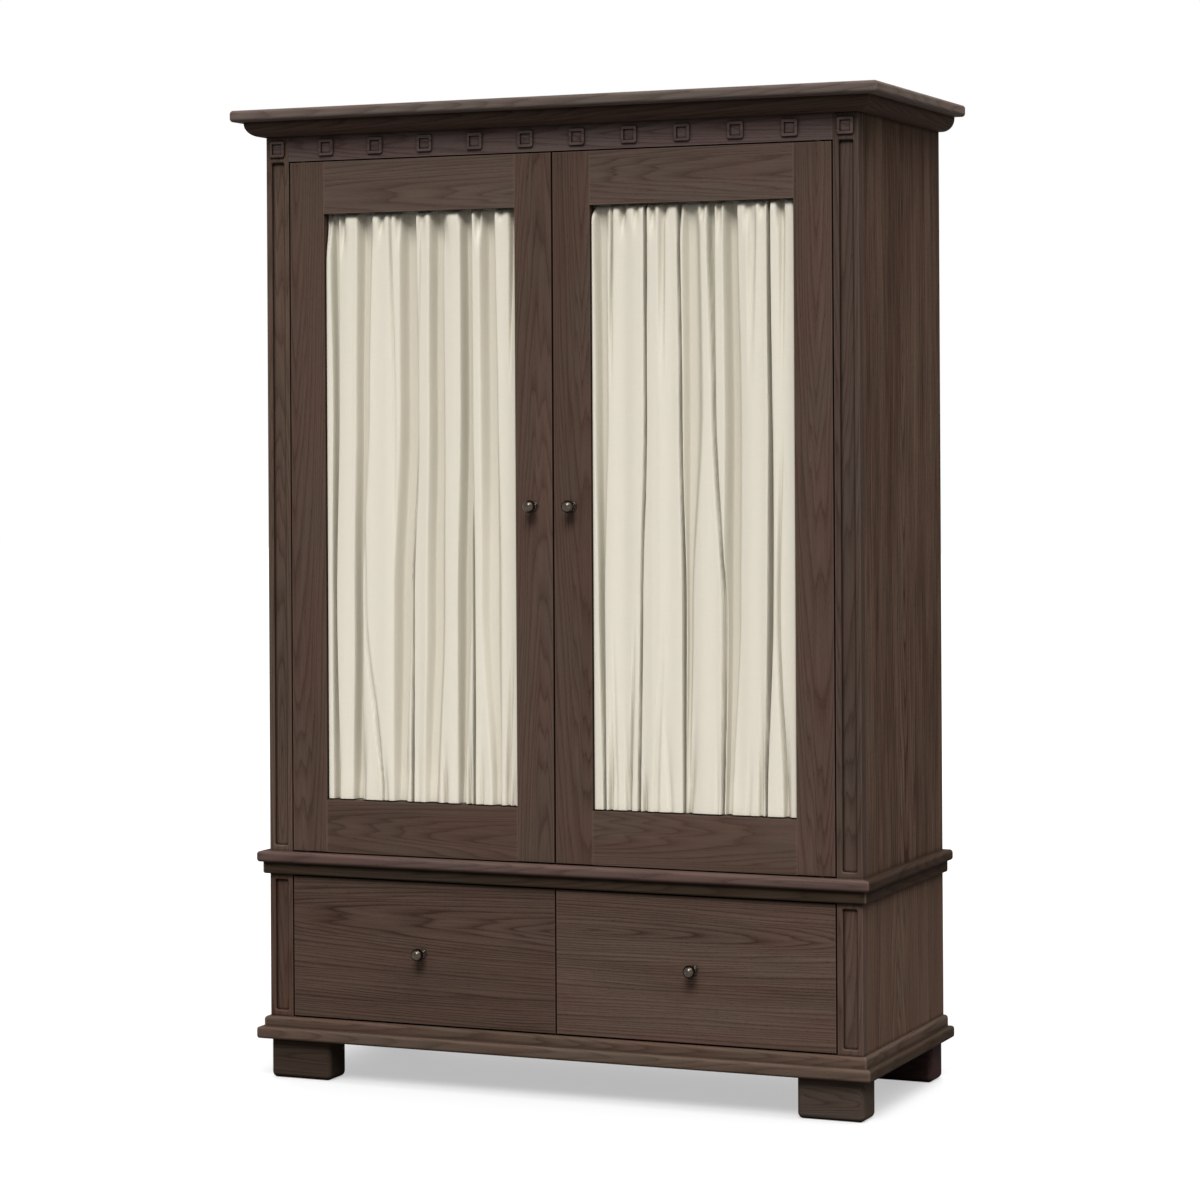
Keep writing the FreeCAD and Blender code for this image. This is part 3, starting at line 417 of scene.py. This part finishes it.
# How strongly the figure shows on each board.
strengthOf = {
    "left_front": 1.0,
    "right_front": 1.0,
    "chest_side": 0.8,
    "_side": 1.4,
    "slab": 0.6,
    "stile": 0.65,
    "top_rail": 0.65,
    "bottom_rail": 0.65,
}
# What differs from board to board: where its heart line runs, its tone, and the figure's plain strength.
board = {"seed": 41, "heartOff": 0.35, "heartBehind": (0.018, 0.055), "heartAlong": 0.5,
         "toneSpread": 0.04, "figure": 0.7}


def pick(table, node, plain):
    # The first entry whose words are in the node's name.
    return next((value for words, value in table.items() if words in node), plain)


def heartOf(node, grain, dice, board):
    # Where a board's heart line runs: near its middle across the grain and a little behind its face.
    low, high = (np.array(corner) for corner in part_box(node))
    axes = {"x": (2, 1, 0), "y": (2, 0, 1), "z": (0, 1, 2), "zDeep": (1, 0, 2), "round": (2, 1, 0)}[grain]
    heart = (low + high) / 2
    heart[axes[0]] += (high - low)[axes[0]] * dice.uniform(-board["heartOff"], board["heartOff"])
    heart[axes[1]] = low[axes[1]] - dice.uniform(*board["heartBehind"]) * dice.choice((-1, 1))
    heart[axes[2]] += dice.uniform(-board["heartAlong"], board["heartAlong"])
    return tuple(-heart)


dice = np.random.default_rng(board["seed"])
shared = {name: makeMetal(name, look, patina) for name, look in metals.items()}
shared["catch_plastic"] = makeCatchPlastic("catch_plastic", catchLook)
for node in sorted(frame["nodes"]):
    mesh = frame["nodes"][node].data
    slot = slotOf[node]
    grain = grainOf(node)
    shift = heartOf(node, grain, dice, board)
    tone = np.array(pick(stainAndShadeOf, node, 1.0)) * (1 + board["toneSpread"] * dice.uniform(-1, 1))
    if slot == "curtain_cloth":
        continue
    if slot in woods:
        look = pick(lookOf, node, woods[slot])
        sideLightAndShade = pick(sideLightAndShadeOf, node, (1.0, 1.0, 1.0))
        strength = pick(strengthOf, node, board["figure"])
        made = makeWood(node, look, grain, shift, tone, sideLightAndShade, strength, bodyEdges)
    else:
        made = shared["pin_steel" if node == "pivot_pins" else slot]
    mesh.materials.clear()
    mesh.materials.append(made)
print("woods and metals set")


# Curtains: the room that the right one hangs in, in metres, and how the cloth falls there. A wave's turns
# are radians per width or per metre of height. Each wall of a fold has its share of the fold, and how
# much a lean changes that.
curtain = {
    "front": -0.2172,  # the front of the cloth at the rods
    "bulge": 0.0175,  # how far it comes forward in the window
    "back": -0.2012,  # the bottom of its folds at the rods
    "deepest": -0.1920,  # and away from them
    "edgeIn": 0.0805,  # its edges towards the cabinet's middle and side
    "edgeOut": 0.5455,
    "low": 0.5710,  # heights of its edges and of the rods
    "lowRod": 0.5880,
    "highRod": 1.9000,
    "high": 1.9170,
    "rodY": -0.1960,
    "rodRadius": 0.0040,
    "windowLow": 0.6100,  # the rails' edges round the window
    "windowHigh": 1.8780,
    "stitchGap": 0.0290,  # from the window's top down to the stitching behind
    "pointsAcross": 320,
    "rowsDown": 126,
    "rowStops": (0.5710, 0.6095, 0.6135, 0.7050, 1.7850, 1.8700, 1.8785, 1.9170),
    "rowShares": (0.0, 0.07, 0.16, 0.32, 0.69, 0.83, 0.93, 1.0),
    "turnTop": 0.0050,  # how soon it has come forward below the top rail
    "topRise": 0.25,  # how much shallower the folds are there, and over what length
    "topReach": 0.030,
    "turnLow": 0.0025,
    "turnSide": 0.0022,
    "rowsPocket": 12,
    "trialPoints": 3000,  # the trial that spaces the columns, closer on steep walls
    "steepWeight": 1.5,
    "thickness": 0.0005,
    "railAir": 0.0005,
    "jambAt": 0.0062,  # from the cloth's edge to the window's side
    "pinnedNear": 0.012,  # the rods hold the cloth up to here, and let it go over the next length
    "freeOver": 0.09,
    "slackDepth": 0.05,  # its depth before any fold
    "slowWave": {"swing": 0.04, "turns": 23, "start": 1.3, "climb": 0.7},
    "fastWave": {"swing": 0.025, "turns": 57, "climb": 1.1},
    "leftWall": (0.30, 0.16),
    "rightWall": (0.40, 0.22),
    "depthRate": 1.7,
    "depthPower": 1.2,
    "widen": 1.5,  # a fold's width between its ridges, over the width that shows dark
    "wobble": 0.0025,  # how far a fold strays sideways
    "wobbleTurns": (3, 6),
    "wobbleStarts": (0, 6.28),
    "gatherJitter": 0.35,
    "gatherSlant": 0.14,
    "gatherSteeper": 1.7,
    "gatherSpread": 5,
    "gathers": ({"count": 15, "from": 1.8780, "reach": -1, "wide": 0.0072, "long": (0.015, 0.07),
                 "deep": (0.15, 0.60)},
                {"count": 9, "from": 0.6100, "reach": 1, "wide": 0.0050, "long": (0.04, 0.18),
                 "deep": (0.05, 0.40)}),
}
# The pocket round each rod: how far behind the front it runs, wider over the rod, and how much of the
# folds it follows.
pocketShape = {
    "edgeTurn": 0.0006,
    "lowStitch": 0.3,
    "halfHeight": 0.016,
    "close": 0.0022,
    "open": 0.0065,
    "rodAir": 0.0012,
    "startRate": 6,
    "endRate": 2.2,
    "foldShare": 0.35,
}
# Each fold is a valley between two soft ridges. Where it is, how wide and how deep are given at the top, a
# third down, two thirds down and the bottom: places as shares of the cloth's width from its left edge,
# widths in metres, depths as they add up in gatheredPlan. The more it leans, the steeper its left wall.
leftFolds = [
    {"at": (0.055, 0.063, 0.052, 0.060), "wide": (0.016, 0.011, 0.008, 0.012),
     "deep": (0.6, 0.6, 0.9, 0.4), "lean": 0.2},
    {"at": (0.215, 0.205, 0.175, 0.165), "wide": (0.027, 0.025, 0.016, 0.018),
     "deep": (0.8, 0.7, 1.0, 0.8), "lean": 0.4},
    {"at": (0.345, 0.360, 0.360, 0.360), "wide": (0.006, 0.006, 0.006, 0.006),
     "deep": (0.22, 0.05, 0.0, 0.0), "lean": 0.0},
    {"at": (0.200, 0.200, 0.215, 0.300), "wide": (0.005, 0.005, 0.005, 0.005),
     "deep": (0.0, 0.0, 0.1, 0.35), "lean": 0.3},
    {"at": (0.441, 0.439, 0.404, 0.388), "wide": (0.031, 0.033, 0.031, 0.023),
     "deep": (1.2, 1.25, 0.95, 0.5), "lean": 0.1},
    {"at": (0.500, 0.490, 0.455, 0.450), "wide": (0.006, 0.006, 0.005, 0.006),
     "deep": (0.1, 0.0, 0.35, 0.9), "lean": 0.3},
    {"at": (0.588, 0.585, 0.572, 0.550), "wide": (0.023, 0.026, 0.030, 0.026),
     "deep": (0.88, 0.8, 0.7, 0.45), "lean": 0.2},
    {"at": (0.735, 0.735, 0.722, 0.700), "wide": (0.021, 0.023, 0.024, 0.014),
     "deep": (0.95, 1.2, 1.05, 0.75), "lean": 0.5},
    {"at": (0.765, 0.765, 0.765, 0.763), "wide": (0.006, 0.006, 0.005, 0.006),
     "deep": (0.1, 0.0, 0.4, 1.0), "lean": 0.0},
    {"at": (0.845, 0.850, 0.855, 0.880), "wide": (0.026, 0.029, 0.033, 0.016),
     "deep": (0.9, 0.72, 0.45, 0.45), "lean": -0.1},
    {"at": (0.965, 0.960, 0.960, 0.930), "wide": (0.009, 0.009, 0.009, 0.009),
     "deep": (0.5, 0.0, 0.0, 0.3), "lean": 0.0},
]
rightFolds = [
    {"at": (0.054, 0.063, 0.059, 0.065), "wide": (0.022, 0.021, 0.011, 0.006),
     "deep": (0.6, 0.55, 0.7, 0.9), "lean": -0.3},
    {"at": (0.114, 0.110, 0.110, 0.120), "wide": (0.006, 0.006, 0.006, 0.006),
     "deep": (0.35, 0.0, 0.0, 0.1), "lean": 0.0},
    {"at": (0.200, 0.200, 0.210, 0.190), "wide": (0.005, 0.005, 0.005, 0.006),
     "deep": (0.0, 0.0, 0.0, 0.4), "lean": 0.0},
    {"at": (0.278, 0.272, 0.248, 0.235), "wide": (0.0062, 0.0058, 0.0050, 0.0060),
     "deep": (1.1, 1.1, 0.5, 0.8), "lean": 0.3},
    {"at": (0.354, 0.350, 0.350, 0.320), "wide": (0.012, 0.010, 0.010, 0.012),
     "deep": (0.3, 0.0, 0.0, 0.15), "lean": 0.0},
    {"at": (0.432, 0.440, 0.455, 0.452), "wide": (0.0062, 0.0062, 0.0064, 0.0055),
     "deep": (1.1, 1.1, 1.1, 0.9), "lean": 0.4},
    {"at": (0.497, 0.505, 0.482, 0.470), "wide": (0.030, 0.033, 0.012, 0.008),
     "deep": (0.55, 0.55, 0.35, 0.15), "lean": 0.5},
    {"at": (0.590, 0.604, 0.640, 0.634), "wide": (0.014, 0.0070, 0.0062, 0.0055),
     "deep": (0.9, 0.6, 0.6, 0.9), "lean": 0.5},
    {"at": (0.684, 0.690, 0.680, 0.660), "wide": (0.023, 0.025, 0.026, 0.014),
     "deep": (0.95, 1.0, 0.95, 0.55), "lean": -0.2},
    {"at": (0.786, 0.780, 0.780, 0.780), "wide": (0.016, 0.010, 0.010, 0.010),
     "deep": (0.22, 0.0, 0.0, 0.0), "lean": 0.0},
    {"at": (0.866, 0.868, 0.863, 0.842), "wide": (0.0070, 0.0075, 0.0105, 0.0060),
     "deep": (1.1, 1.2, 1.1, 0.9), "lean": 0.6},
    {"at": (0.925, 0.920, 0.903, 0.932), "wide": (0.010, 0.006, 0.006, 0.006),
     "deep": (0.2, 0.0, 0.25, 0.4), "lean": -0.3},
]


def smooth(share):
    # 0 to 1 with level ends.
    share = np.clip(share, 0, 1)
    return share * share * (3 - 2 * share)


def alongHeight(values, down):
    # A value given at four heights, carried smoothly between them; down is 0 at the top and 1 at the bottom.
    spot = np.clip(down, 0, 1) * (len(values) - 1)
    low = np.minimum(spot.astype(int), len(values) - 2)
    values = np.array(values)
    return values[low] + (values[low + 1] - values[low]) * smooth(spot - low)


def valley(spot, lean, room):
    # 0 at the edges and 1 in the bottom, for a spot from 0 to 1 across it. With a lean the left wall is
    # steep and the bottom comes up slowly on the right.
    steep = room["leftWall"][0] - room["leftWall"][1] * lean
    slow = room["rightWall"][0] + room["rightWall"][1] * lean
    return smooth(spot / steep) * smooth((1 - spot) / slow)


def drawGathers(rng, room):
    # Small gathers below the upper rod and above the lower one, each with its place, length, depth and slant.
    gathers = []
    for kind in room["gathers"]:
        count, jitter, slant = kind["count"], room["gatherJitter"], room["gatherSlant"]
        for place in (np.arange(count) + 0.5 + rng.uniform(-jitter, jitter, count)) / count:
            gathers.append(dict(kind, place=place, long=rng.uniform(*kind["long"]),
                                deep=rng.uniform(*kind["deep"]), slant=rng.uniform(-slant, slant)))
    return gathers


def gatheredPlan(across, heights, folds, wobbles, gathers, seed, room):
    # Plan of the cloth at each height: two faint waves, the valleys, shallower just below the window's top,
    # and small gathers that die away from the rods add up to a depth. y goes from the front to the back as
    # 1 - exp(-rate * depth ** power), and the front stands ahead of itself in the window's opening.
    width = room["edgeOut"] - room["edgeIn"]
    down = (room["windowHigh"] - heights) / (room["windowHigh"] - room["windowLow"])
    slow, fast = room["slowWave"], room["fastWave"]
    waves = np.sin(across * slow["turns"] + slow["start"] + seed + heights * slow["climb"])
    depth = room["slackDepth"] + slow["swing"] * waves
    depth = depth + fast["swing"] * np.sin(across * fast["turns"] - heights * fast["climb"])
    below = np.maximum(room["windowHigh"] - heights, 0) / room["topReach"]
    settled = 1 - room["topRise"] * np.exp(-below ** 2)
    for fold, (turns, start) in zip(folds, wobbles):
        wobble = room["wobble"] * np.sin(heights * turns + start)
        wide = alongHeight(fold["wide"], down) * room["widen"] / width
        spot = (across - alongHeight(fold["at"], down) - wobble) / wide + 0.5
        depth = depth + settled * alongHeight(fold["deep"], down) * valley(spot, fold["lean"], room)
    for gather in gathers:
        far = np.maximum((heights - gather["from"]) * gather["reach"], 0)
        shrink = np.exp(-(far / gather["long"]) ** 2)
        away = (across - gather["place"] - gather["slant"] * far) * width / gather["wide"]
        away = np.where(away < 0, away * room["gatherSteeper"], away / (1 + room["gatherSpread"] * far))
        depth = depth + gather["deep"] * shrink * np.exp(-away ** 2)
    fromRods = np.minimum(room["highRod"] - heights, heights - room["lowRod"])
    free = smooth((fromRods - room["pinnedNear"]) / room["freeOver"])
    fromEdge = np.minimum(across, 1 - across) * width
    fall = np.maximum(room["windowHigh"] - room["railAir"] - heights, 0)
    ahead = room["bulge"] * (1 - np.exp(-fall / room["turnTop"]))
    ahead = ahead * smooth((heights - room["windowLow"] - room["railAir"]) / room["turnLow"])
    ahead = ahead * smooth((fromEdge - room["jambAt"]) / room["turnSide"])
    front = room["front"] - ahead
    back = room["back"] + (room["deepest"] - room["back"]) * free
    sunk = 1 - np.exp(-room["depthRate"] * np.clip(depth, 0, None) ** room["depthPower"])
    return front + (back - front) * sunk


def gatheredCloth(folds, seed, room):
    # Rows run from the bottom edge to the top edge, densest where the cloth turns round the rails. Columns
    # are evenly spaced along the gathered cloth, so that steep walls get as many as level ones.
    rng = np.random.default_rng(seed)
    turns, starts = room["wobbleTurns"], room["wobbleStarts"]
    wobbles = [(rng.uniform(*turns), rng.uniform(*starts)) for _ in folds]
    gathers = drawGathers(rng, room)
    width = room["edgeOut"] - room["edgeIn"]
    heights = np.interp(np.linspace(0, 1, room["rowsDown"]), room["rowShares"], room["rowStops"])[:, None]
    fine = np.linspace(0, 1, room["trialPoints"])[None, :]
    trial = gatheredPlan(fine, heights, folds, wobbles, gathers, seed, room)
    run = np.hypot(np.diff(fine * width), room["steepWeight"] * np.diff(trial, axis=1)).mean(axis=0)
    run = np.concatenate([[0], np.cumsum(run)])
    across = np.interp(np.linspace(0, run[-1], room["pointsAcross"]), run, fine[0])[None, :]
    y = gatheredPlan(across, heights, folds, wobbles, gathers, seed, room)
    x = np.broadcast_to(room["edgeIn"] + width * across, y.shape)
    z = np.broadcast_to(heights, x.shape)
    return x, y, z


def gridMesh(name, x, y, z, spots):
    # A mesh from grids of points, one quad between each four neighbours, with a UV map from the spots.
    rows, columns = x.shape
    points = np.stack([x, y, z], axis=-1).reshape(-1, 3)
    index = np.arange(rows * columns).reshape(rows, columns)
    quads = np.stack([index[:-1, :-1], index[:-1, 1:], index[1:, 1:], index[1:, :-1]], axis=-1)
    quads = quads.reshape(-1, 4)
    mesh = bpy.data.meshes.new(name)
    mesh.from_pydata(points.tolist(), [], quads.tolist())
    uv = mesh.uv_layers.new(name="UVMap")
    flat = spots.reshape(-1, 2)[quads.reshape(-1)]
    uv.data.foreach_set("uv", flat.astype(np.float32).ravel())
    mesh.polygons.foreach_set("use_smooth", np.ones(len(mesh.polygons), bool))
    mesh.update()
    piece = bpy.data.objects.new(name, mesh)
    bpy.context.scene.collection.objects.link(piece)
    return piece


def hangCurtain(name, folds, seed, mirrored, room, shape):
    # The front of the cloth runs from the lower edge to the upper edge. At each end it turns over and comes
    # back behind the rod as a pocket, as far as its line of stitching.
    x, y, z = gatheredCloth(folds, seed, room)
    step = np.linspace(0, 1, room["rowsPocket"])[:, None]

    def pocket(row, edge, rod, stitch):
        # Behind the rod the folds are shallower; height goes from the edge to the stitching.
        height = edge + (stitch - edge) * step
        over = smooth(1 - abs(height - rod) / shape["halfHeight"])
        flatY = y[row][None, :] + shape["close"] + shape["open"] * over
        share = smooth(step * shape["startRate"]) * smooth((1 - step) * shape["endRate"])
        follow = shape["foldShare"] * (y[row][None, :] - room["front"])
        follow = follow + room["rodY"] + room["rodRadius"] + shape["rodAir"]
        made = flatY * (1 - share) + np.maximum(flatY, follow) * share
        return np.broadcast_to(x[row][None, :], made.shape), made, np.broadcast_to(height, made.shape)

    highStitch = room["windowHigh"] - room["stitchGap"]
    lowStitch = room["windowLow"] + room["stitchGap"] * shape["lowStitch"]
    topRows = pocket(-1, room["high"] - shape["edgeTurn"], room["highRod"], highStitch)
    lowRows = pocket(0, room["low"] + shape["edgeTurn"], room["lowRod"], lowStitch)
    parts = zip(lowRows, (x, y, z), topRows)
    x, y, z = (np.concatenate([low[::-1], middle, top]) for low, middle, top in parts)
    if mirrored:
        x = -(room["edgeIn"] + room["edgeOut"]) + x
    run = np.cumsum(np.hypot(np.diff(x, axis=1), np.diff(y, axis=1)), axis=1)
    run = np.concatenate([np.zeros((len(x), 1)), run], axis=1)
    fall = np.cumsum(np.abs(np.diff(z[:, 0])))
    fall = np.concatenate([[0], fall])[:, None] + 0 * x
    piece = gridMesh(name, x, y, z, np.stack([run, fall], axis=-1))
    wall = piece.modifiers.new("cloth", "SOLIDIFY")
    wall.thickness = room["thickness"]
    wall.offset = 0.0
    print(name, "cloth", round(float(run[len(run) // 2, -1]), 3), "by", round(float(fall[-1, 0]), 3))
    return piece


cloth = {
    "light": (0.790, 0.732, 0.617),
    "tint": (0.775, 0.730, 0.613),
    "cloudScale": 7.0,  # the slow change between the two
    "cloudDetail": 1.0,
    "cloudStart": 0.35,
    "cloudSlope": 2.2,
    "thread": 0.00075,
    "slub": 0.0016,  # thick places in the threads: width, then length over width
    "slubLong": 26,
    "slubWide": 20,
    "slubPale": (0.93, 0.14),  # the cloth's tone, from and by
    "slubDetail": 2.0,
    "slubHeight": 1.5,
    "roughness": 0.92,
    "sheen": 0.06,
    "specular": 0.2,
    "bumpDepth": 0.00012,
    "bumpStrength": 0.5,
    "clothShadeReach": 0.050,  # painted shade deep in folds
    "clothShadeSamples": 6,
    "clothShadeColour": (0.53, 0.545, 0.535),
    "foldShare": 0.6,
}


def makeCloth(name, look):
    # Plain weave on the cloth's own flat measure: warp and weft threads as two crossed waves, slubs as
    # noise drawn out along each thread direction, a very slow change of tint, and painted shade in folds.
    material, tree, surface = startMaterial(name)
    flat = addNode(tree, "TexCoord").outputs["UV"]
    u, v, _ = addNode(tree, "SeparateXYZ", {0: flat}).outputs[:]
    turn = 2 * math.pi / look["thread"]
    warp = calc(tree, "SINE", calc(tree, "MULTIPLY", u, turn))
    weft = calc(tree, "SINE", calc(tree, "MULTIPLY", v, turn))
    weave = calc(tree, "MULTIPLY", warp, weft)
    slubs = []
    size = look["slub"]
    for wide, long in ((size, size * look["slubLong"]), (size * look["slubWide"], size)):
        parts = {0: calc(tree, "DIVIDE", u, wide), 1: calc(tree, "DIVIDE", v, long)}
        spot = addNode(tree, "CombineXYZ", parts).outputs[0]
        inputs = {"Vector": spot, "Scale": 1.0, "Detail": look["slubDetail"]}
        slubs.append(addNode(tree, "TexNoise", inputs).outputs[0])
    slub = calc(tree, "MULTIPLY", calc(tree, "ADD", *slubs), 0.5)
    place = addNode(tree, "TexCoord").outputs["Object"]
    inputs = {"Vector": place, "Scale": look["cloudScale"], "Detail": look["cloudDetail"]}
    clouds = addNode(tree, "TexNoise", inputs).outputs[0]
    share = calc(tree, "SUBTRACT", clouds, look["cloudStart"])
    share = calc(tree, "MULTIPLY", share, look["cloudSlope"], clamp=True)
    colour = blendColours(tree, share, opaque(look["light"]), opaque(look["tint"]))
    low, swing = look["slubPale"]
    dim = calc(tree, "ADD", low, calc(tree, "MULTIPLY", slub, swing))
    shade = addNode(tree, "VectorMath", {0: colour, "Scale": dim}, operation="SCALE").outputs[0]
    # Painted shade: occlusion darkens the cloth deep in its folds and next to the rails.
    paintedFoldShade = nearness(tree, look["clothShadeReach"], look["clothShadeSamples"])
    paintedFoldShade = calc(tree, "MULTIPLY", paintedFoldShade, look["foldShare"], clamp=True)
    darker = blendColours(tree, 1.0, shade, opaque(look["clothShadeColour"]), "MULTIPLY")
    tree.links.new(blendColours(tree, paintedFoldShade, shade, darker), surface.inputs["Base Color"])
    height = calc(tree, "ADD", weave, calc(tree, "MULTIPLY", slub, look["slubHeight"]))
    addBump(tree, surface, height, look)
    surface.inputs["Roughness"].default_value = look["roughness"]
    surface.inputs["Sheen Weight"].default_value = look["sheen"]
    surface.inputs["Specular IOR Level"].default_value = look["specular"]
    return material


clothMaterial = makeCloth("curtain_cloth", cloth)
# Each curtain hangs on its door in place of the CAD curtain; its UV map is the cloth laid flat, with its
# folds and its two pockets opened.
for side, folds, seed in (("left", leftFolds, 3), ("right", rightFolds, 8)):
    name = "gathered_curtain_" + side
    piece = hangCurtain(name, folds, seed, side == "left", curtain, pocketShape)
    piece.data.materials.append(clothMaterial)
    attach(piece, "door_" + side)
    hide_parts("door_%s_curtain" % side)
print("curtains hung")


light = {
    "keyFrom": (0.24, -1.0, 1.08),
    "keyStrength": 2.55,
    "keySoftness": 0.45,
    "sideFrom": (0.75, -0.30, 1.40),
    "sideStrength": 1.39,
    "sideSoftness": 0.7,
    "backFrom": (-0.6, 1.0, 0.8),
    "backStrength": 1.5,
    "backSoftness": 0.8,
    "horizonLevel": 0.10,  # the world's own light, at the horizon and overhead
    "zenithLevel": 0.86,
}


def farLight(name, comesFrom, strength, softness):
    # An even light from one direction, as from a large and distant soft box.
    lamp = bpy.data.lights.new(name, "SUN")
    lamp.energy = strength
    lamp.angle = softness
    lit = bpy.data.objects.new(name, lamp)
    lit.rotation_euler = (-Vector(comesFrom)).to_track_quat("-Z", "Y").to_euler()
    bpy.context.scene.collection.objects.link(lit)


farLight("keyLight", light["keyFrom"], light["keyStrength"], light["keySoftness"])
farLight("backLight", light["backFrom"], light["backStrength"], light["backSoftness"])
farLight("sideLight", light["sideFrom"], light["sideStrength"], light["sideSoftness"])


def shownDirectly(tree):
    # 1 where a ray comes from the camera, a gloss or glass, else 0.
    path = addNode(tree, "LightPath").outputs
    gloss = calc(tree, "MAXIMUM", path["Is Glossy Ray"], path["Is Transmission Ray"])
    return calc(tree, "MAXIMUM", path["Is Camera Ray"], gloss)


def setWorld(horizon, zenith):
    # White where it shows; as light on the object it grows from the horizon's level to the zenith's.
    world = bpy.data.worlds.new("studio")
    bpy.context.scene.world = world
    world.use_nodes = True
    tree = world.node_tree
    tree.nodes.clear()
    upward = addNode(tree, "SeparateXYZ", {0: addNode(tree, "TexCoord").outputs["Generated"]}).outputs[2]
    upward = calc(tree, "MAXIMUM", upward, 0.0)
    level = blendNumbers(tree, upward, horizon, zenith)
    strength = blendNumbers(tree, shownDirectly(tree), level, 1.0)
    glow = addNode(tree, "Background", {"Color": (1.0, 1.0, 1.0, 1.0), "Strength": strength})
    output = addNode(tree, "OutputWorld")
    tree.links.new(glow.outputs[0], output.inputs["Surface"])


setWorld(light["horizonLevel"], light["zenithLevel"])


floorLook = {
    "reach": 30.0,
    "shownColour": (0.40, 0.40, 0.40),  # to the eye, and its glow there
    "glow": 0.47,
    "litColour": (0.13, 0.13, 0.13),  # as it lights the object
    "roughness": 0.9,
    "specular": 0.1,
}


def layFloor(look):
    # A level sheet under the feet. To the eye, in gloss and in glass it is pale and glows a little, which
    # keeps the shadow soft; for the light on the object it is darker and does not glow.
    reach = look["reach"]
    mesh = bpy.data.meshes.new("studioFloor")
    corners = [(-reach, -reach, 0), (reach, -reach, 0), (reach, reach, 0), (-reach, reach, 0)]
    mesh.from_pydata(corners, [], [(0, 1, 2, 3)])
    floor = bpy.data.objects.new("studioFloor", mesh)
    bpy.context.scene.collection.objects.link(floor)
    material, tree, surface = startMaterial("studioFloor")
    shown = shownDirectly(tree)
    colour = blendColours(tree, shown, opaque(look["litColour"]), opaque(look["shownColour"]))
    tree.links.new(colour, surface.inputs["Base Color"])
    tree.links.new(calc(tree, "MULTIPLY", shown, look["glow"]), surface.inputs["Emission Strength"])
    surface.inputs["Emission Color"].default_value = (1.0, 1.0, 1.0, 1.0)
    material.cycles.emission_sampling = "NONE"
    surface.inputs["Roughness"].default_value = look["roughness"]
    surface.inputs["Specular IOR Level"].default_value = look["specular"]
    mesh.materials.append(material)


layFloor(floorLook)


# What the photograph's framing gives: a level camera, a little to the right, with a small downward shift.
view = {
    "place": (2.88889, -6.73578, 1.40295),
    "turn": 0.4045,  # radians
    "roll": 0.0055,
    "lens": 101.45,  # millimetres, as the sensor
    "sensor": 36.0,
    "shiftDown": 0.14009,  # shares of the frame
    "farEnd": 100,
}


def setCamera(view):
    # Columns of the camera's frame: right, up and back, from its turn about Z and its small roll.
    turn, roll = view["turn"], view["roll"]
    look = Vector((-math.sin(turn), math.cos(turn), 0))
    level = Vector((math.cos(turn), math.sin(turn), 0))
    plumb = level.cross(look)
    right = math.cos(roll) * level - math.sin(roll) * plumb
    up = math.sin(roll) * level + math.cos(roll) * plumb
    camera = bpy.data.cameras.new("photoCamera")
    camera.lens = view["lens"]
    camera.sensor_width = view["sensor"]
    camera.shift_y = -view["shiftDown"]
    camera.clip_end = view["farEnd"]
    holder = bpy.data.objects.new("photoCamera", camera)
    bpy.context.scene.collection.objects.link(holder)
    frameMatrix = Matrix((right, up, -look)).transposed().to_4x4()
    frameMatrix.translation = Vector(view["place"])
    holder.matrix_world = frameMatrix
    bpy.context.scene.camera = holder


setCamera(view)
bpy.context.scene.view_settings.view_transform = "Standard"
print("light, floor and camera set")
